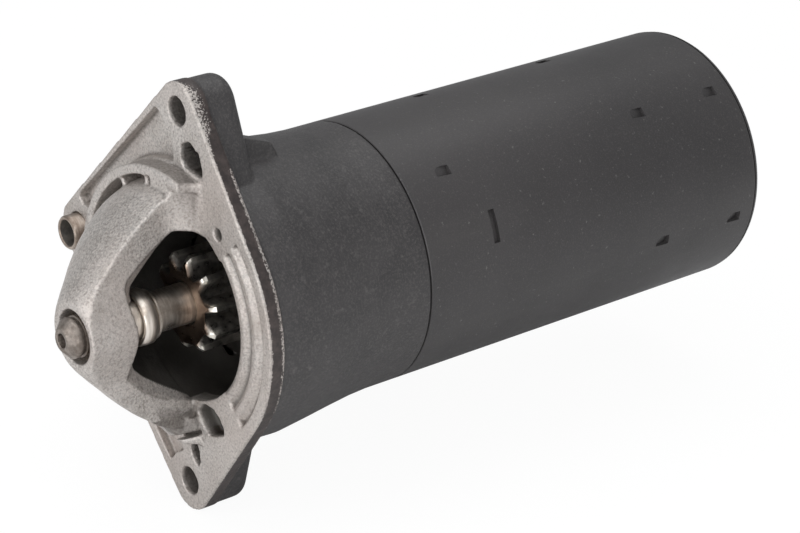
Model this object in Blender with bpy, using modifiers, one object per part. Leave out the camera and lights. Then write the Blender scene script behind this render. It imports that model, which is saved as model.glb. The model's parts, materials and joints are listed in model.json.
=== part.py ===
"""A gear-reduced starter motor. It is modelled standing nose up, with local Z pointing at the nose,
local X to the right and local Y to what becomes the top. One empty then lays it down, so the nose
points along -Y and the origin is where the shaft axis meets the flange's mounting face."""

from math import asin, cos, pi, radians, sin

import bmesh
import bpy
from mathutils import Matrix, Vector

NAME = "starter_motor"
GAP = 0.0003

# Drive-end housing. Heights are positive toward the nose and negative toward the rear.
YOKE_RADIUS = 0.039
BARREL_END = -0.0583
BARREL_FLARE_RADIUS = 0.0424
FLANGE_THICKNESS = 0.005
EAR_THICKNESS = 0.0155
FLANGE_RADIUS = 0.043
TOP_EAR = (0.0015, 0.0576)
BOTTOM_EAR = (0.0014, -0.0552)
DOWEL_EAR = (-0.0528, 0.0046)
TOP_EAR_RADIUS = 0.0083
BOTTOM_EAR_RADIUS = 0.0088
DOWEL_EAR_RADIUS = 0.009
BOLT_HOLE_RADIUS = 0.0042
SMALL_HOLE = (0.0194, 0.0275)
SMALL_HOLE_RADIUS = 0.0019
SPIGOT_RADIUS = 0.0414
SPIGOT_INNER_RADIUS = 0.0365
SPIGOT_HEIGHT = 0.006
SPIGOT_END_X = 0.0107
WINDOW_RADIUS = 0.028
CHAMBER_RADIUS = 0.035
CHAMBER_FRONT = -0.006
COUNTERBORE_RADIUS = 0.0361
COUNTERBORE_FRONT = -0.0525

# Nose: a cone cut off by a flat wall on its +X side, with a boss at its tip.
NOSE_FACE = 0.0347
NOSE_BOSS_RADIUS = 0.010
NOSE_BORE_RADIUS = 0.0078
NOSE_WALL_OUTER_X = 0.006
NOSE_WALL_INNER_X = 0.0025
NOSE_CAVITY_TOP = 0.0185
NOSE_PROFILE = ((0.0100, 0.0347), (0.0222, 0.0240), (0.0278, 0.0180), (0.0328, 0.0120), (0.0385, 0.0))
NOSE_CAVITY_PROFILE = ((0.0165, NOSE_CAVITY_TOP), (0.0220, 0.0180), (0.0280, 0.0120), (0.0330, 0.0))
NOSE_WINDOW = ((-0.0278, -0.001), (-0.0262, 0.002), (-0.0165, 0.0147), (-0.0130, 0.0186),
               (0.0123, 0.0180), (0.0180, 0.0124), (0.0250, 0.0056), (0.0278, -0.001))

# Dowel in the left ear.
DOWEL_RADIUS = 0.0051
DOWEL_BORE_RADIUS = 0.00395
DOWEL_HEIGHT = 0.0042
DOWEL_DEPTH = 0.012

# Output shaft, with what it carries.
SHAFT_RADIUS = 0.0059
SHAFT_TIP = 0.0386
SPLINE_RADIUS = 0.0080
SPLINE_FRONT = -0.0283
CARRIER_RADIUS = 0.021
CARRIER_FRONT = -0.0588
CARRIER_BACK = -0.0625
COLLAR_RADIUS = 0.0080
COLLAR_TOP = 0.0163
COLLAR_BOTTOM = 0.0119
RING_RADIUS = 0.0072
RING_TOP = 0.0116
RING_BOTTOM = 0.0104

# Pinion and overrunning clutch, at rest.
PINION_TEETH = 10
PINION_TIP_RADIUS = 0.0146
PINION_PHASE = radians(11)
PINION_FRONT = -0.0008
PINION_TOOTH_LENGTH = 0.0140
SLEEVE_RADIUS = 0.0095
SLEEVE_BACK = -0.0272
CLUTCH_RADIUS = 0.020
CLUTCH_FRONT = -0.017
CLUTCH_SHELL_BACK = -0.034
CLUTCH_BACK = -0.048
GUIDE_RADIUS = 0.0136
GROOVE_RADIUS = 0.0103
GROOVE_WIDTH = 0.0052
PINION_TRAVEL = 0.0105

# Engaging lever and solenoid. The solenoid's axis is parallel to the motor's.
SOLENOID_ANGLE = radians(210)
SOLENOID_DISTANCE = 0.0636
PIVOT_DISTANCE = 0.041
PIVOT_HEIGHT = -0.036
PIVOT_PIN_RADIUS = 0.0025
PIVOT_PIN_LENGTH = 0.050
FORK_ARM_OFFSET = 0.0158
TOP_ARM_OFFSET = 0.0046
SEAT_RADIUS = 0.0225
SEAT_FRONT = -0.024
SEAT_BACK = -0.050
SEAT_BORE_RADIUS = 0.013
SWING = asin(PINION_TRAVEL / 2 / PIVOT_DISTANCE)
FORK_HEIGHT = PIVOT_HEIGHT - PINION_TRAVEL / 2
TOP_ARM = SOLENOID_DISTANCE - PIVOT_DISTANCE
LEVER_TOP_HEIGHT = PIVOT_HEIGHT + TOP_ARM * sin(SWING)
CASE_RADIUS = 0.021
CASE_FRONT = -0.0504
CASE_BACK = -0.100
CAP_BACK = -0.117
PLUNGER_RADIUS = 0.009
PLUNGER_BACK = -0.084
SPRING_SEAT = -0.070
CORE_FRONT_FACE = -0.0922
STEM_RADIUS = 0.003
CONTACT_FRONT = -0.1056
CONTACT_BACK = -0.1076
STUD_OFFSET = 0.009
SCREW_OFFSET = 0.0173

# Planetary reduction.
FLANK_TANGENT = 0.364
MODULE = 0.0011
SUN_TEETH = 12
PLANET_TEETH = 18
RING_TEETH = SUN_TEETH + 2 * PLANET_TEETH
PLANET_COUNT = 3
PLANET_DISTANCE = MODULE * (SUN_TEETH + PLANET_TEETH) / 2
PLANET_PIN_RADIUS = 0.003
GEAR_FRONT = -0.0632
GEAR_BACK = -0.0725
INSERT_RADIUS = 0.0357

# Motor: yoke, magnets, armature and brushes.
YOKE_FRONT = -0.0586
YOKE_BACK = -0.1853
YOKE_INNER_RADIUS = 0.0361
REAR_END = -0.1871
COVER_RADIUS = 0.0388
MAGNET_COUNT = 6
MAGNET_INNER_RADIUS = 0.0293
MAGNET_SPAN = radians(42)
MAGNET_PHASE = radians(-10.5)
MAGNET_FRONT = -0.088
MAGNET_BACK = -0.146
CORE_RADIUS = 0.0286
CORE_FRONT = -0.092
CORE_BACK = -0.142
SLOT_COUNT = 14
ARMATURE_SHAFT_RADIUS = 0.006
COMMUTATOR_RADIUS = 0.015
BRUSH_COUNT = 4
BRUSH_FRONT = -0.157
BRUSH_BACK = -0.169
BOLT_CIRCLE = 0.0323
NOTCH_CIRCLE = 0.0334
NOTCH_RADIUS = 0.0034
BOLT_ANGLE = radians(79.5)
BOLT_RADIUS = 0.0020
BOLT_HEAD_RADIUS = 0.0035
REAR_BUSH_RADIUS = 0.0075


def clear_scene():
    for obj in list(bpy.data.objects):
        bpy.data.objects.remove(obj)


def make_collections():
    parts = bpy.data.collections.new(NAME)
    cutters = bpy.data.collections.new("cutters")
    for group in (parts, cutters):
        bpy.context.scene.collection.children.link(group)
    return parts, cutters


def make_material(name, colour, roughness, metallic):
    found = bpy.data.materials.new(name)
    found.use_nodes = True
    surface = found.node_tree.nodes["Principled BSDF"]
    surface.inputs["Base Color"].default_value = (*colour, 1.0)
    surface.inputs["Roughness"].default_value = roughness
    surface.inputs["Metallic"].default_value = metallic
    return found


SWAP_X_AND_Z = Matrix(((0, 0, 1, 0), (0, 1, 0, 0), (1, 0, 0, 0), (0, 0, 0, 1)))

clear_scene()
PARTS, CUTTERS = make_collections()
ALUMINIUM = make_material("cast aluminium", (0.42, 0.40, 0.38), 0.45, 0.9)
BLACK_PAINT = make_material("black paint", (0.05, 0.048, 0.05), 0.5, 0.0)
STEEL = make_material("steel", (0.30, 0.27, 0.24), 0.32, 1.0)
DARK_STEEL = make_material("oiled steel", (0.09, 0.085, 0.08), 0.4, 0.9)
COPPER = make_material("copper", (0.65, 0.30, 0.17), 0.35, 1.0)
BRONZE = make_material("sintered bronze", (0.35, 0.22, 0.10), 0.5, 0.9)
FERRITE = make_material("ferrite", (0.06, 0.06, 0.065), 0.7, 0.0)
PLASTIC = make_material("black plastic", (0.02, 0.02, 0.02), 0.45, 0.0)
CARBON = make_material("brush carbon", (0.04, 0.035, 0.035), 0.6, 0.2)
RUBBER = make_material("rubber", (0.015, 0.015, 0.015), 0.8, 0.0)

STANDING = bpy.data.objects.new("laid_down", None)
STANDING.rotation_euler = (pi / 2, 0, 0)
SIDE = bpy.data.objects.new("solenoid_side", None)
SIDE.rotation_euler = (0, 0, SOLENOID_ANGLE)
SIDE.parent = STANDING
for frame in (STANDING, SIDE):
    PARTS.objects.link(frame)


def new_object(name, mesh, at=(0, 0, 0), turn=(0, 0, 0), parent=STANDING):
    obj = bpy.data.objects.new(name, mesh)
    obj.location = at
    obj.rotation_euler = turn
    obj.parent = parent
    return obj


def finish(obj, material):
    """Turns a shape into a visible part with its material."""
    PARTS.objects.link(obj)
    if not obj.data.materials:
        obj.data.materials.append(material)
    for face in obj.data.polygons:
        face.use_smooth = True
    obj.data.set_sharp_from_angle(angle=radians(35))
    return obj


def as_tool(obj):
    """Turns a shape into a hidden operand of a Boolean."""
    CUTTERS.objects.link(obj)
    obj.hide_render = True
    obj.display_type = "WIRE"
    return obj


def boolean(obj, other, operation):
    modifier = obj.modifiers.new(other.name, "BOOLEAN")
    modifier.operation = operation
    modifier.solver = "EXACT"
    modifier.object = other


def cut(obj, *others):
    for other in others:
        boolean(obj, as_tool(other), "DIFFERENCE")
    return obj


def add(obj, *others):
    for other in others:
        boolean(obj, as_tool(other), "UNION")
    return obj


def turned(name, profile, at=(0, 0, 0), steps=24, **place):
    """A solid of revolution about local Z. The profile of (radius, height) runs down the outer side."""
    open_profile = any(radius == 0 for radius, _ in profile)
    count = len(profile)
    edges = [(i, (i + 1) % count) for i in range(count - open_profile)]
    mesh = bpy.data.meshes.new(name)
    mesh.from_pydata([(radius, 0, height) for radius, height in profile], edges, [])
    obj = new_object(name, mesh, at, **place)
    screw = obj.modifiers.new("turn", "SCREW")
    screw.steps = screw.render_steps = steps
    screw.use_merge_vertices = True
    screw.merge_threshold = 1e-6
    return obj


def pin(name, radius, top, bottom, at=(0, 0), steps=14, **place):
    return turned(name, ((0, top), (radius, top), (radius, bottom), (0, bottom)), (*at, 0), steps, **place)


def tube(name, outer, inner, top, bottom, at=(0, 0), steps=24, **place):
    loop = ((outer, top), (outer, bottom), (inner, bottom), (inner, top))
    return turned(name, loop, (*at, 0), steps, **place)


def box(name, low, high, **place):
    """A box between two corners."""
    body = bmesh.new()
    size = Vector(high) - Vector(low)
    middle = (Vector(high) + Vector(low)) / 2
    matrix = Matrix.Translation(middle) @ Matrix.Diagonal((*size, 1))
    bmesh.ops.create_cube(body, size=1, matrix=matrix)
    mesh = bpy.data.meshes.new(name)
    body.to_mesh(mesh)
    body.free()
    return new_object(name, mesh, **place)


def mesh_of(curve):
    """The mesh of a curve's evaluated surface, with its loose caps welded on."""
    holder = bpy.data.objects.new("holder", curve)
    bpy.context.scene.collection.objects.link(holder)
    graph = bpy.context.evaluated_depsgraph_get()
    mesh = bpy.data.meshes.new_from_object(holder.evaluated_get(graph))
    bpy.data.objects.remove(holder)
    body = bmesh.new()
    body.from_mesh(mesh)
    bmesh.ops.remove_doubles(body, verts=body.verts, dist=1e-7)
    bmesh.ops.recalc_face_normals(body, faces=body.faces)
    body.to_mesh(mesh)
    body.free()
    return mesh


def plate(name, loops, top, bottom, at=(0, 0), **place):
    """A flat plate with the first loop as its outline and the others as holes."""
    curve = bpy.data.curves.new(name, "CURVE")
    curve.dimensions = "2D"
    curve.fill_mode = "BOTH"
    curve.extrude = (top - bottom) / 2
    for loop in loops:
        spline = curve.splines.new("POLY")
        spline.points.add(len(loop) - 1)
        spline.use_cyclic_u = True
        for point, (x, y) in zip(spline.points, loop):
            point.co = (x, y, 0, 1)
    obj = new_object(name, mesh_of(curve), (*at, 0), **place)
    obj.data.transform(Matrix.Translation((0, 0, (top + bottom) / 2)))
    return obj


def wire(name, points, radius, at=(0, 0, 0), resolution=2, **place):
    """A round wire through the points."""
    curve = bpy.data.curves.new(name, "CURVE")
    curve.dimensions = "3D"
    curve.bevel_depth = radius
    curve.bevel_resolution = resolution
    curve.use_fill_caps = True
    spline = curve.splines.new("POLY")
    spline.points.add(len(points) - 1)
    for point, co in zip(spline.points, points):
        point.co = (*co, 1)
    return new_object(name, mesh_of(curve), at, **place)


def circle(centre, radius, count=32, start=0.0, end=2 * pi):
    whole = end - start >= 2 * pi
    steps = count if whole else count - 1
    angles = [start + (end - start) * i / steps for i in range(count)]
    return [(centre[0] + radius * cos(a), centre[1] + radius * sin(a)) for a in angles]


def hull(points):
    """The convex outline round the points, counter-clockwise."""
    def half(ordered):
        kept = []
        for x, y in ordered:
            while len(kept) > 1:
                (ax, ay), (bx, by) = kept[-2:]
                if (bx - ax) * (y - ay) - (by - ay) * (x - ax) > 0:
                    break
                kept.pop()
            kept.append((x, y))
        return kept[:-1]

    ordered = sorted(set(points))
    return half(ordered) + half(ordered[::-1])


def gear_outline(teeth, module, play, inward=False):
    """Straight-flanked teeth with one centred on +X. An inward gear's teeth point at its centre."""
    pitch = teeth * module / 2
    side = -1 if inward else 1
    root = pitch - side * 1.25 * module
    tip = pitch + side * module
    slope = 2 * FLANK_TANGENT / teeth
    middle = pi / 2 / teeth - play / 2 / pitch
    root_half = middle + 1.25 * slope
    tip_half = middle - slope
    points = []
    for tooth in range(teeth):
        centre = 2 * pi * tooth / teeth
        for radius, angle in ((root, -root_half), (tip, -tip_half), (tip, tip_half), (root, root_half)):
            points.append((radius * cos(centre + angle), radius * sin(centre + angle)))
    return points


def polar(radius, angle):
    return radius * cos(angle), radius * sin(angle)


def bolt_places():
    return [polar(BOLT_CIRCLE, BOLT_ANGLE + half * pi) for half in range(2)]


def notched_disc(inner_loop):
    """The outline of an insert in the yoke, notched for the two through bolts."""
    points = []
    half = asin(NOTCH_RADIUS / INSERT_RADIUS)
    for side in range(2):
        middle = BOLT_ANGLE + side * pi
        inward = middle + pi
        points += circle(polar(NOTCH_CIRCLE, middle), NOTCH_RADIUS, 9, inward - 1.8, inward + 1.8)[::-1]
        points += circle((0, 0), INSERT_RADIUS, 22, middle + half, middle + pi - half)
    return [points, inner_loop]


def make_housing_body():
    """The outside of the casting: flange, ears, barrel, nose and solenoid seat."""
    ears = ((TOP_EAR, TOP_EAR_RADIUS), (BOTTOM_EAR, BOTTOM_EAR_RADIUS), (DOWEL_EAR, DOWEL_EAR_RADIUS))
    main = circle((0, 0), FLANGE_RADIUS, 60)
    rims = [point for centre, radius in ears for point in circle(centre, radius, 20)]
    body = plate("drive_end_housing", [hull(main + rims)], 0, -FLANGE_THICKNESS)
    for number, (centre, radius) in enumerate(ears):
        arm = hull(circle(centre, radius - 0.0003, 16) + circle((0, 0), 0.024, 20))
        add(body, plate(f"ear_{number}", [arm], -0.001, -EAR_THICKNESS))
    barrel = ((0, -0.002), (BARREL_FLARE_RADIUS, -0.002), (BARREL_FLARE_RADIUS, -0.015), (0.0393, -0.042),
              (YOKE_RADIUS, -0.048), (YOKE_RADIUS, BARREL_END), (0, BARREL_END))
    add(body, turned("barrel", barrel, steps=56))
    neck = hull(circle((0, 0), 0.032, 20) + circle((SOLENOID_DISTANCE, 0), SEAT_RADIUS, 24))
    add(body, plate("solenoid_seat", [neck], SEAT_FRONT, SEAT_BACK, parent=SIDE))
    nose = turned("nose_cone", ((0, NOSE_FACE), *NOSE_PROFILE, (0.0385, -0.002), (0, -0.002)), steps=48)
    cut(nose, box("beside_nose", (NOSE_WALL_OUTER_X, -0.06, -0.003), (0.06, 0.06, 0.05)))
    add(body, nose, pin("nose_boss", NOSE_BOSS_RADIUS, NOSE_FACE, 0.0175, steps=32))
    spigot = tube("spigot", SPIGOT_RADIUS, SPIGOT_INNER_RADIUS, SPIGOT_HEIGHT, -0.001, steps=56)
    cut(spigot, box("beside_spigot", (SPIGOT_END_X, -0.06, -0.0001), (0.06, 0.06, 0.05)))
    return add(body, spigot)


def cut_chamber(body):
    """Hollows the barrel and the nose, and opens the nose's window."""
    chamber = ((0, CHAMBER_FRONT), (CHAMBER_RADIUS, CHAMBER_FRONT), (CHAMBER_RADIUS, COUNTERBORE_FRONT),
               (COUNTERBORE_RADIUS, COUNTERBORE_FRONT), (COUNTERBORE_RADIUS, -0.06), (0, -0.06))
    cut(body, turned("chamber", chamber, steps=40))
    hollow = turned("nose_hollow", ((0, NOSE_CAVITY_TOP), *NOSE_CAVITY_PROFILE, (0.033, -0.007), (0, -0.007)),
                    steps=40)
    cut(hollow, box("nose_wall", (NOSE_WALL_INNER_X, -0.05, -0.008), (0.05, 0.05, 0.03)))
    cut(body, hollow, pin("flange_window", WINDOW_RADIUS, 0.0005, -0.007, steps=48))
    window = [(height, across) for across, height in NOSE_WINDOW]
    opening = plate("nose_window", [window], 0.045, -0.001)
    opening.data.transform(SWAP_X_AND_Z)
    opening.data.flip_normals()
    cut(body, opening)
    cut(body, pin("nose_bore", NOSE_BORE_RADIUS, 0.04, 0.015, steps=28))


def cut_fastening_holes(body):
    for number, centre in enumerate((TOP_EAR, BOTTOM_EAR)):
        cut(body, pin(f"ear_hole_{number}", BOLT_HOLE_RADIUS, 0.01, -0.02, centre, 24))
    cut(body, pin("dowel_hole", DOWEL_RADIUS + GAP, 0.01, -0.0126, DOWEL_EAR, 26))
    cut(body, pin("small_hole", SMALL_HOLE_RADIUS, 0.01, -0.004, SMALL_HOLE, 12))
    for number, centre in enumerate(bolt_places()):
        add(body, pin(f"bolt_boss_{number}", 0.0040, -0.040, COUNTERBORE_FRONT + 0.0004, centre, 12))
        cut(body, pin(f"bolt_thread_{number}", BOLT_RADIUS + GAP, -0.043, -0.06, centre, 14))


def cut_lever_space(body):
    """The slots that the lever swings in, the plunger's bore and the holes for its pin and screws."""
    cut(body, box("fork_space", (0.018, -0.0182, -0.048), (0.047, 0.0182, -0.0275), parent=SIDE))
    cut(body, box("lever_space", (0.040, -0.009, -0.051), (0.070, 0.009, -0.0262), parent=SIDE))
    cut(body, pin("plunger_space", SEAT_BORE_RADIUS, -0.0262, -0.052, (SOLENOID_DISTANCE, 0), 24,
                  parent=SIDE))
    cut(body, pin("pivot_hole", PIVOT_PIN_RADIUS + GAP, 0.035, -0.035, steps=16, parent=SIDE,
                  turn=(pi / 2, 0, 0)))
    body.modifiers[-1].object.location = (PIVOT_DISTANCE, 0, PIVOT_HEIGHT)
    for number, side in enumerate((-1, 1)):
        place = (SOLENOID_DISTANCE, side * SCREW_OFFSET)
        cut(body, pin(f"screw_hole_{number}", 0.0024, -0.02, -0.052, place, 12, parent=SIDE))


def make_drive_end():
    body = make_housing_body()
    cut_chamber(body)
    cut_fastening_holes(body)
    cut_lever_space(body)
    finish(body, ALUMINIUM)
    finish(tube("locating_dowel", DOWEL_RADIUS, DOWEL_BORE_RADIUS, DOWEL_HEIGHT, -DOWEL_DEPTH, DOWEL_EAR),
           STEEL)
    finish(tube("nose_bush", NOSE_BORE_RADIUS - GAP, SHAFT_RADIUS + GAP, 0.0332, 0.0195), BRONZE)
    disc = notched_disc(circle((0, 0), 0.0105, 28))
    bearing = plate("bearing_plate", disc, -0.0532, -0.0578)
    add(bearing, tube("bearing_hub", 0.013, 0.0105, -0.049, -0.055))
    finish(bearing, ALUMINIUM)
    finish(tube("bearing_bush", 0.0102, SPLINE_RADIUS + GAP, -0.0493, -0.0576), BRONZE)


def make_output_shaft():
    profile = ((0, 0.0355), (0.0024, SHAFT_TIP), (0.0033, SHAFT_TIP), (0.00565, 0.0363),
               (SHAFT_RADIUS, 0.0358), (SHAFT_RADIUS, SPLINE_FRONT), (SPLINE_RADIUS, -0.0286),
               (SPLINE_RADIUS, CARRIER_FRONT), (CARRIER_RADIUS, CARRIER_FRONT), (CARRIER_RADIUS, CARRIER_BACK),
               (0, CARRIER_BACK))
    shaft = turned("output_shaft", profile)
    for number in range(PLANET_COUNT):
        place = polar(PLANET_DISTANCE, pi / 2 + 2 * pi * number / PLANET_COUNT)
        cut(shaft, pin(f"pin_hole_{number}", PLANET_PIN_RADIUS + GAP, -0.058, -0.064, place, 20))
        finish(pin(f"planet_pin_{number + 1}", PLANET_PIN_RADIUS, -0.0592, -0.0738, place, 20), STEEL)
    finish(shaft, STEEL)
    finish(tube("stop_collar", COLLAR_RADIUS, SHAFT_RADIUS + GAP, COLLAR_TOP, COLLAR_BOTTOM), STEEL)
    finish(tube("thrust_ring", RING_RADIUS, SHAFT_RADIUS + GAP, RING_TOP, RING_BOTTOM), STEEL)


def make_pinion():
    module = PINION_TIP_RADIUS / (PINION_TEETH / 2 + 1)
    bore = circle((0, 0), SHAFT_RADIUS + GAP, 24)
    outline = gear_outline(PINION_TEETH, module, 0.0004)
    pinion = plate("pinion", [outline, bore], PINION_FRONT, PINION_FRONT - PINION_TOOTH_LENGTH,
                   turn=(0, 0, PINION_PHASE))
    sleeve = tube("sleeve", SLEEVE_RADIUS, SHAFT_RADIUS + GAP, PINION_FRONT - 0.010, SLEEVE_BACK, steps=24)
    add(pinion, sleeve)
    finish(pinion, DARK_STEEL)
    groove_top = FORK_HEIGHT + GROOVE_WIDTH / 2
    groove_bottom = FORK_HEIGHT - GROOVE_WIDTH / 2
    profile = ((CLUTCH_RADIUS, CLUTCH_FRONT), (CLUTCH_RADIUS, CLUTCH_SHELL_BACK),
               (GUIDE_RADIUS, CLUTCH_SHELL_BACK), (GUIDE_RADIUS, groove_top), (GROOVE_RADIUS, groove_top),
               (GROOVE_RADIUS, groove_bottom), (GUIDE_RADIUS, groove_bottom), (GUIDE_RADIUS, CLUTCH_BACK),
               (SPLINE_RADIUS + 0.0004, CLUTCH_BACK), (SPLINE_RADIUS + 0.0004, -0.0277),
               (SLEEVE_RADIUS + 0.0004, -0.0277), (SLEEVE_RADIUS + 0.0004, CLUTCH_FRONT))
    finish(turned("clutch_housing", profile, steps=36), STEEL)


def lever_arm(name, far, far_radius, near_radius, offset, thickness):
    """One flat arm of the lever, from its pivot to the far point (distance, height)."""
    pivot = (PIVOT_DISTANCE, PIVOT_HEIGHT)
    outline = hull(circle(far, far_radius, 10) + circle(pivot, near_radius, 14))
    arm = plate(name, [outline], thickness / 2, -thickness / 2, turn=(pi / 2, 0, 0), parent=SIDE)
    arm.location = (0, offset, 0)
    return arm


def across(name, radius, low, high, distance, height, steps=16):
    """A round bar along the lever's pivot direction."""
    bar = pin(name, radius, high, low, steps=steps, turn=(-pi / 2, 0, 0), parent=SIDE)
    bar.location = (distance, 0, height)
    return bar


def make_lever():
    half = FORK_ARM_OFFSET + 0.0015
    lever = across("shift_lever", 0.0055, -half, half, PIVOT_DISTANCE, PIVOT_HEIGHT, 24)
    for side in (-1, 1):
        fork = (0, FORK_HEIGHT)
        top = (SOLENOID_DISTANCE, LEVER_TOP_HEIGHT)
        low, high = sorted((side * 0.0107, side * 0.015))
        add(lever, lever_arm(f"fork_arm_{side}", fork, 0.0032, 0.0055, side * FORK_ARM_OFFSET, 0.003),
            lever_arm(f"top_arm_{side}", top, 0.0019, 0.0036, side * TOP_ARM_OFFSET, 0.0024),
            across(f"fork_pad_{side}", 0.0021, low, high, 0, FORK_HEIGHT))
    cut(lever, across("lever_bore", PIVOT_PIN_RADIUS + GAP, -0.03, 0.03, PIVOT_DISTANCE, PIVOT_HEIGHT, 20))
    finish(lever, STEEL)
    half = PIVOT_PIN_LENGTH / 2
    finish(across("lever_pivot_pin", PIVOT_PIN_RADIUS, -half, half, PIVOT_DISTANCE, PIVOT_HEIGHT), STEEL)


def spring_points(radius, top, bottom, turns, per_turn):
    count = turns * per_turn
    return [(*polar(radius, 2 * pi * i / per_turn), top + (bottom - top) * i / count)
            for i in range(count + 1)]


def make_solenoid():
    axis = (SOLENOID_DISTANCE, 0)
    case = turned("solenoid_case", ((CASE_RADIUS, CASE_FRONT), (CASE_RADIUS, CASE_BACK),
                                    (0.0198, CASE_BACK), (0.0198, -0.056), (0.0094, -0.056),
                                    (0.0094, CASE_FRONT)), (*axis, 0), parent=SIDE)
    for number, side in enumerate((-1, 1)):
        place = (SOLENOID_DISTANCE, side * SCREW_OFFSET)
        cut(case, pin(f"case_thread_{number}", 0.0023, -0.049, -0.0555, place, 12, parent=SIDE))
        screw = turned(f"solenoid_screw_{number + 1}", ((0, -0.0203), (0.0038, -0.0203), (0.0038, -0.0237),
                                                        (0.0020, -0.0237), (0.0020, -0.055), (0, -0.055)),
                       (*place, 0), 16, parent=SIDE)
        finish(screw, STEEL)
    finish(case, STEEL)
    finish(tube("solenoid_coil", 0.0194, 0.0100, -0.0564, -0.0958, axis, parent=SIDE), COPPER)
    core = ((0.0094, CORE_FRONT_FACE), (0.0094, -0.0962), (0.0194, -0.0962), (0.0194, -0.0996),
            (0.0026, -0.0996), (0.0026, CORE_FRONT_FACE))
    finish(turned("solenoid_core", core, (*axis, 0), parent=SIDE), STEEL)
    slot_front = LEVER_TOP_HEIGHT + 0.0034
    slot_back = LEVER_TOP_HEIGHT - 0.0034
    plunger = ((0, slot_front + 0.002), (0.0056, slot_front + 0.002), (0.0056, slot_front),
               (STEM_RADIUS, slot_front), (STEM_RADIUS, slot_back), (0.0056, slot_back),
               (0.0056, -0.0517), (PLUNGER_RADIUS, -0.0517), (PLUNGER_RADIUS, PLUNGER_BACK),
               (0.0066, PLUNGER_BACK), (0.0066, SPRING_SEAT), (0, SPRING_SEAT))
    finish(turned("solenoid_plunger", plunger, (*axis, 0), 24, parent=SIDE), STEEL)
    coils = spring_points(0.0056, SPRING_SEAT - 0.0011, CORE_FRONT_FACE + 0.0011, 5, 8)
    finish(wire("return_spring", coils, 0.0007, (*axis, 0), parent=SIDE), STEEL)
    make_contacts(axis)


def make_contacts(axis):
    disc = ((0, -0.0860), (0.0020, -0.0860), (0.0020, CONTACT_FRONT), (0.0120, CONTACT_FRONT),
            (0.0120, CONTACT_BACK), (0, CONTACT_BACK))
    finish(turned("contact_disc", disc, (*axis, 0), 24, parent=SIDE), COPPER)
    cap = turned("solenoid_cap", ((0, -0.1142), (0.0165, -0.1142), (0.0165, CASE_BACK - 0.0004),
                                  (0.0205, CASE_BACK - 0.0004), (0.0205, CAP_BACK), (0, CAP_BACK)),
                 (*axis, 0), parent=SIDE)
    for number, side in enumerate((-1, 1)):
        place = (SOLENOID_DISTANCE + side * STUD_OFFSET, 0)
        cut(cap, pin(f"stud_hole_{number}", 0.0033, -0.110, -0.120, place, 16, parent=SIDE))
        finish(pin(f"terminal_stud_{number + 1}", 0.003, -0.1137, -0.1280, place, 20, parent=SIDE), COPPER)
        hexagon = circle((0, 0), 0.0055, 6, pi / 6, pi / 6 + 2 * pi)
        nut = plate(f"terminal_nut_{number + 1}", [hexagon, circle((0, 0), 0.0033, 20)], -0.1205, -0.1250,
                    place, parent=SIDE)
        finish(nut, STEEL)
    finish(cap, PLASTIC)


def make_gears():
    disc = notched_disc(gear_outline(RING_TEETH, MODULE, 0.0002, inward=True))
    finish(plate("ring_gear", disc, -0.0590, -0.0750), DARK_STEEL)
    sun = gear_outline(SUN_TEETH, MODULE, 0.0002)
    finish(plate("sun_gear", [sun, circle((0, 0), 0.0037, 24)], GEAR_FRONT, GEAR_BACK - 0.001), STEEL)
    planet = gear_outline(PLANET_TEETH, MODULE, 0.0002)
    bore = circle((0, 0), PLANET_PIN_RADIUS + GAP, 20)
    for number in range(PLANET_COUNT):
        place = polar(PLANET_DISTANCE, pi / 2 + 2 * pi * number / PLANET_COUNT)
        finish(plate(f"planet_gear_{number + 1}", [planet, bore], GEAR_FRONT, GEAR_BACK, place), STEEL)


def make_armature():
    shaft = ((0, -0.0634), (0.0034, -0.0634), (0.0034, -0.0740), (ARMATURE_SHAFT_RADIUS, -0.0740),
             (ARMATURE_SHAFT_RADIUS, -0.1755), (0.005, -0.1755), (0.005, -0.1847), (0, -0.1847))
    finish(turned("armature_shaft", shaft, steps=24), STEEL)
    bore = ARMATURE_SHAFT_RADIUS + GAP
    slot_half = 0.0017
    slot_floor = 0.019
    edge = asin(slot_half / CORE_RADIUS)
    floor = asin(slot_half / slot_floor)
    outline = []
    for number in range(SLOT_COUNT):
        middle = 2 * pi * number / SLOT_COUNT
        following = middle + 2 * pi / SLOT_COUNT
        outline += [polar(slot_floor, middle - floor), polar(slot_floor, middle + floor)]
        outline += circle((0, 0), CORE_RADIUS, 3, middle + edge, following - edge)
    finish(plate("armature_core", [outline, circle((0, 0), bore, 24)], CORE_FRONT, CORE_BACK), DARK_STEEL)
    winding = tube("armature_winding", 0.0270, 0.0140, -0.0840, CORE_FRONT + 0.0004, steps=28)
    for number in range(SLOT_COUNT):
        bar = box(f"winding_bar_{number}", (0.0194, -0.0014, CORE_BACK - 0.001),
                  (0.0265, 0.0014, CORE_FRONT + 0.001), turn=(0, 0, 2 * pi * number / SLOT_COUNT))
        add(winding, bar)
    add(winding, tube("winding_rear", 0.0270, 0.0140, CORE_BACK - 0.0004, -0.1500, steps=28))
    finish(winding, COPPER)
    commutator = ((0.0170, -0.1530), (0.0170, -0.1555), (COMMUTATOR_RADIUS, -0.1555),
                  (COMMUTATOR_RADIUS, -0.1720), (bore, -0.1720), (bore, -0.1530))
    finish(turned("commutator", commutator), COPPER)


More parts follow.
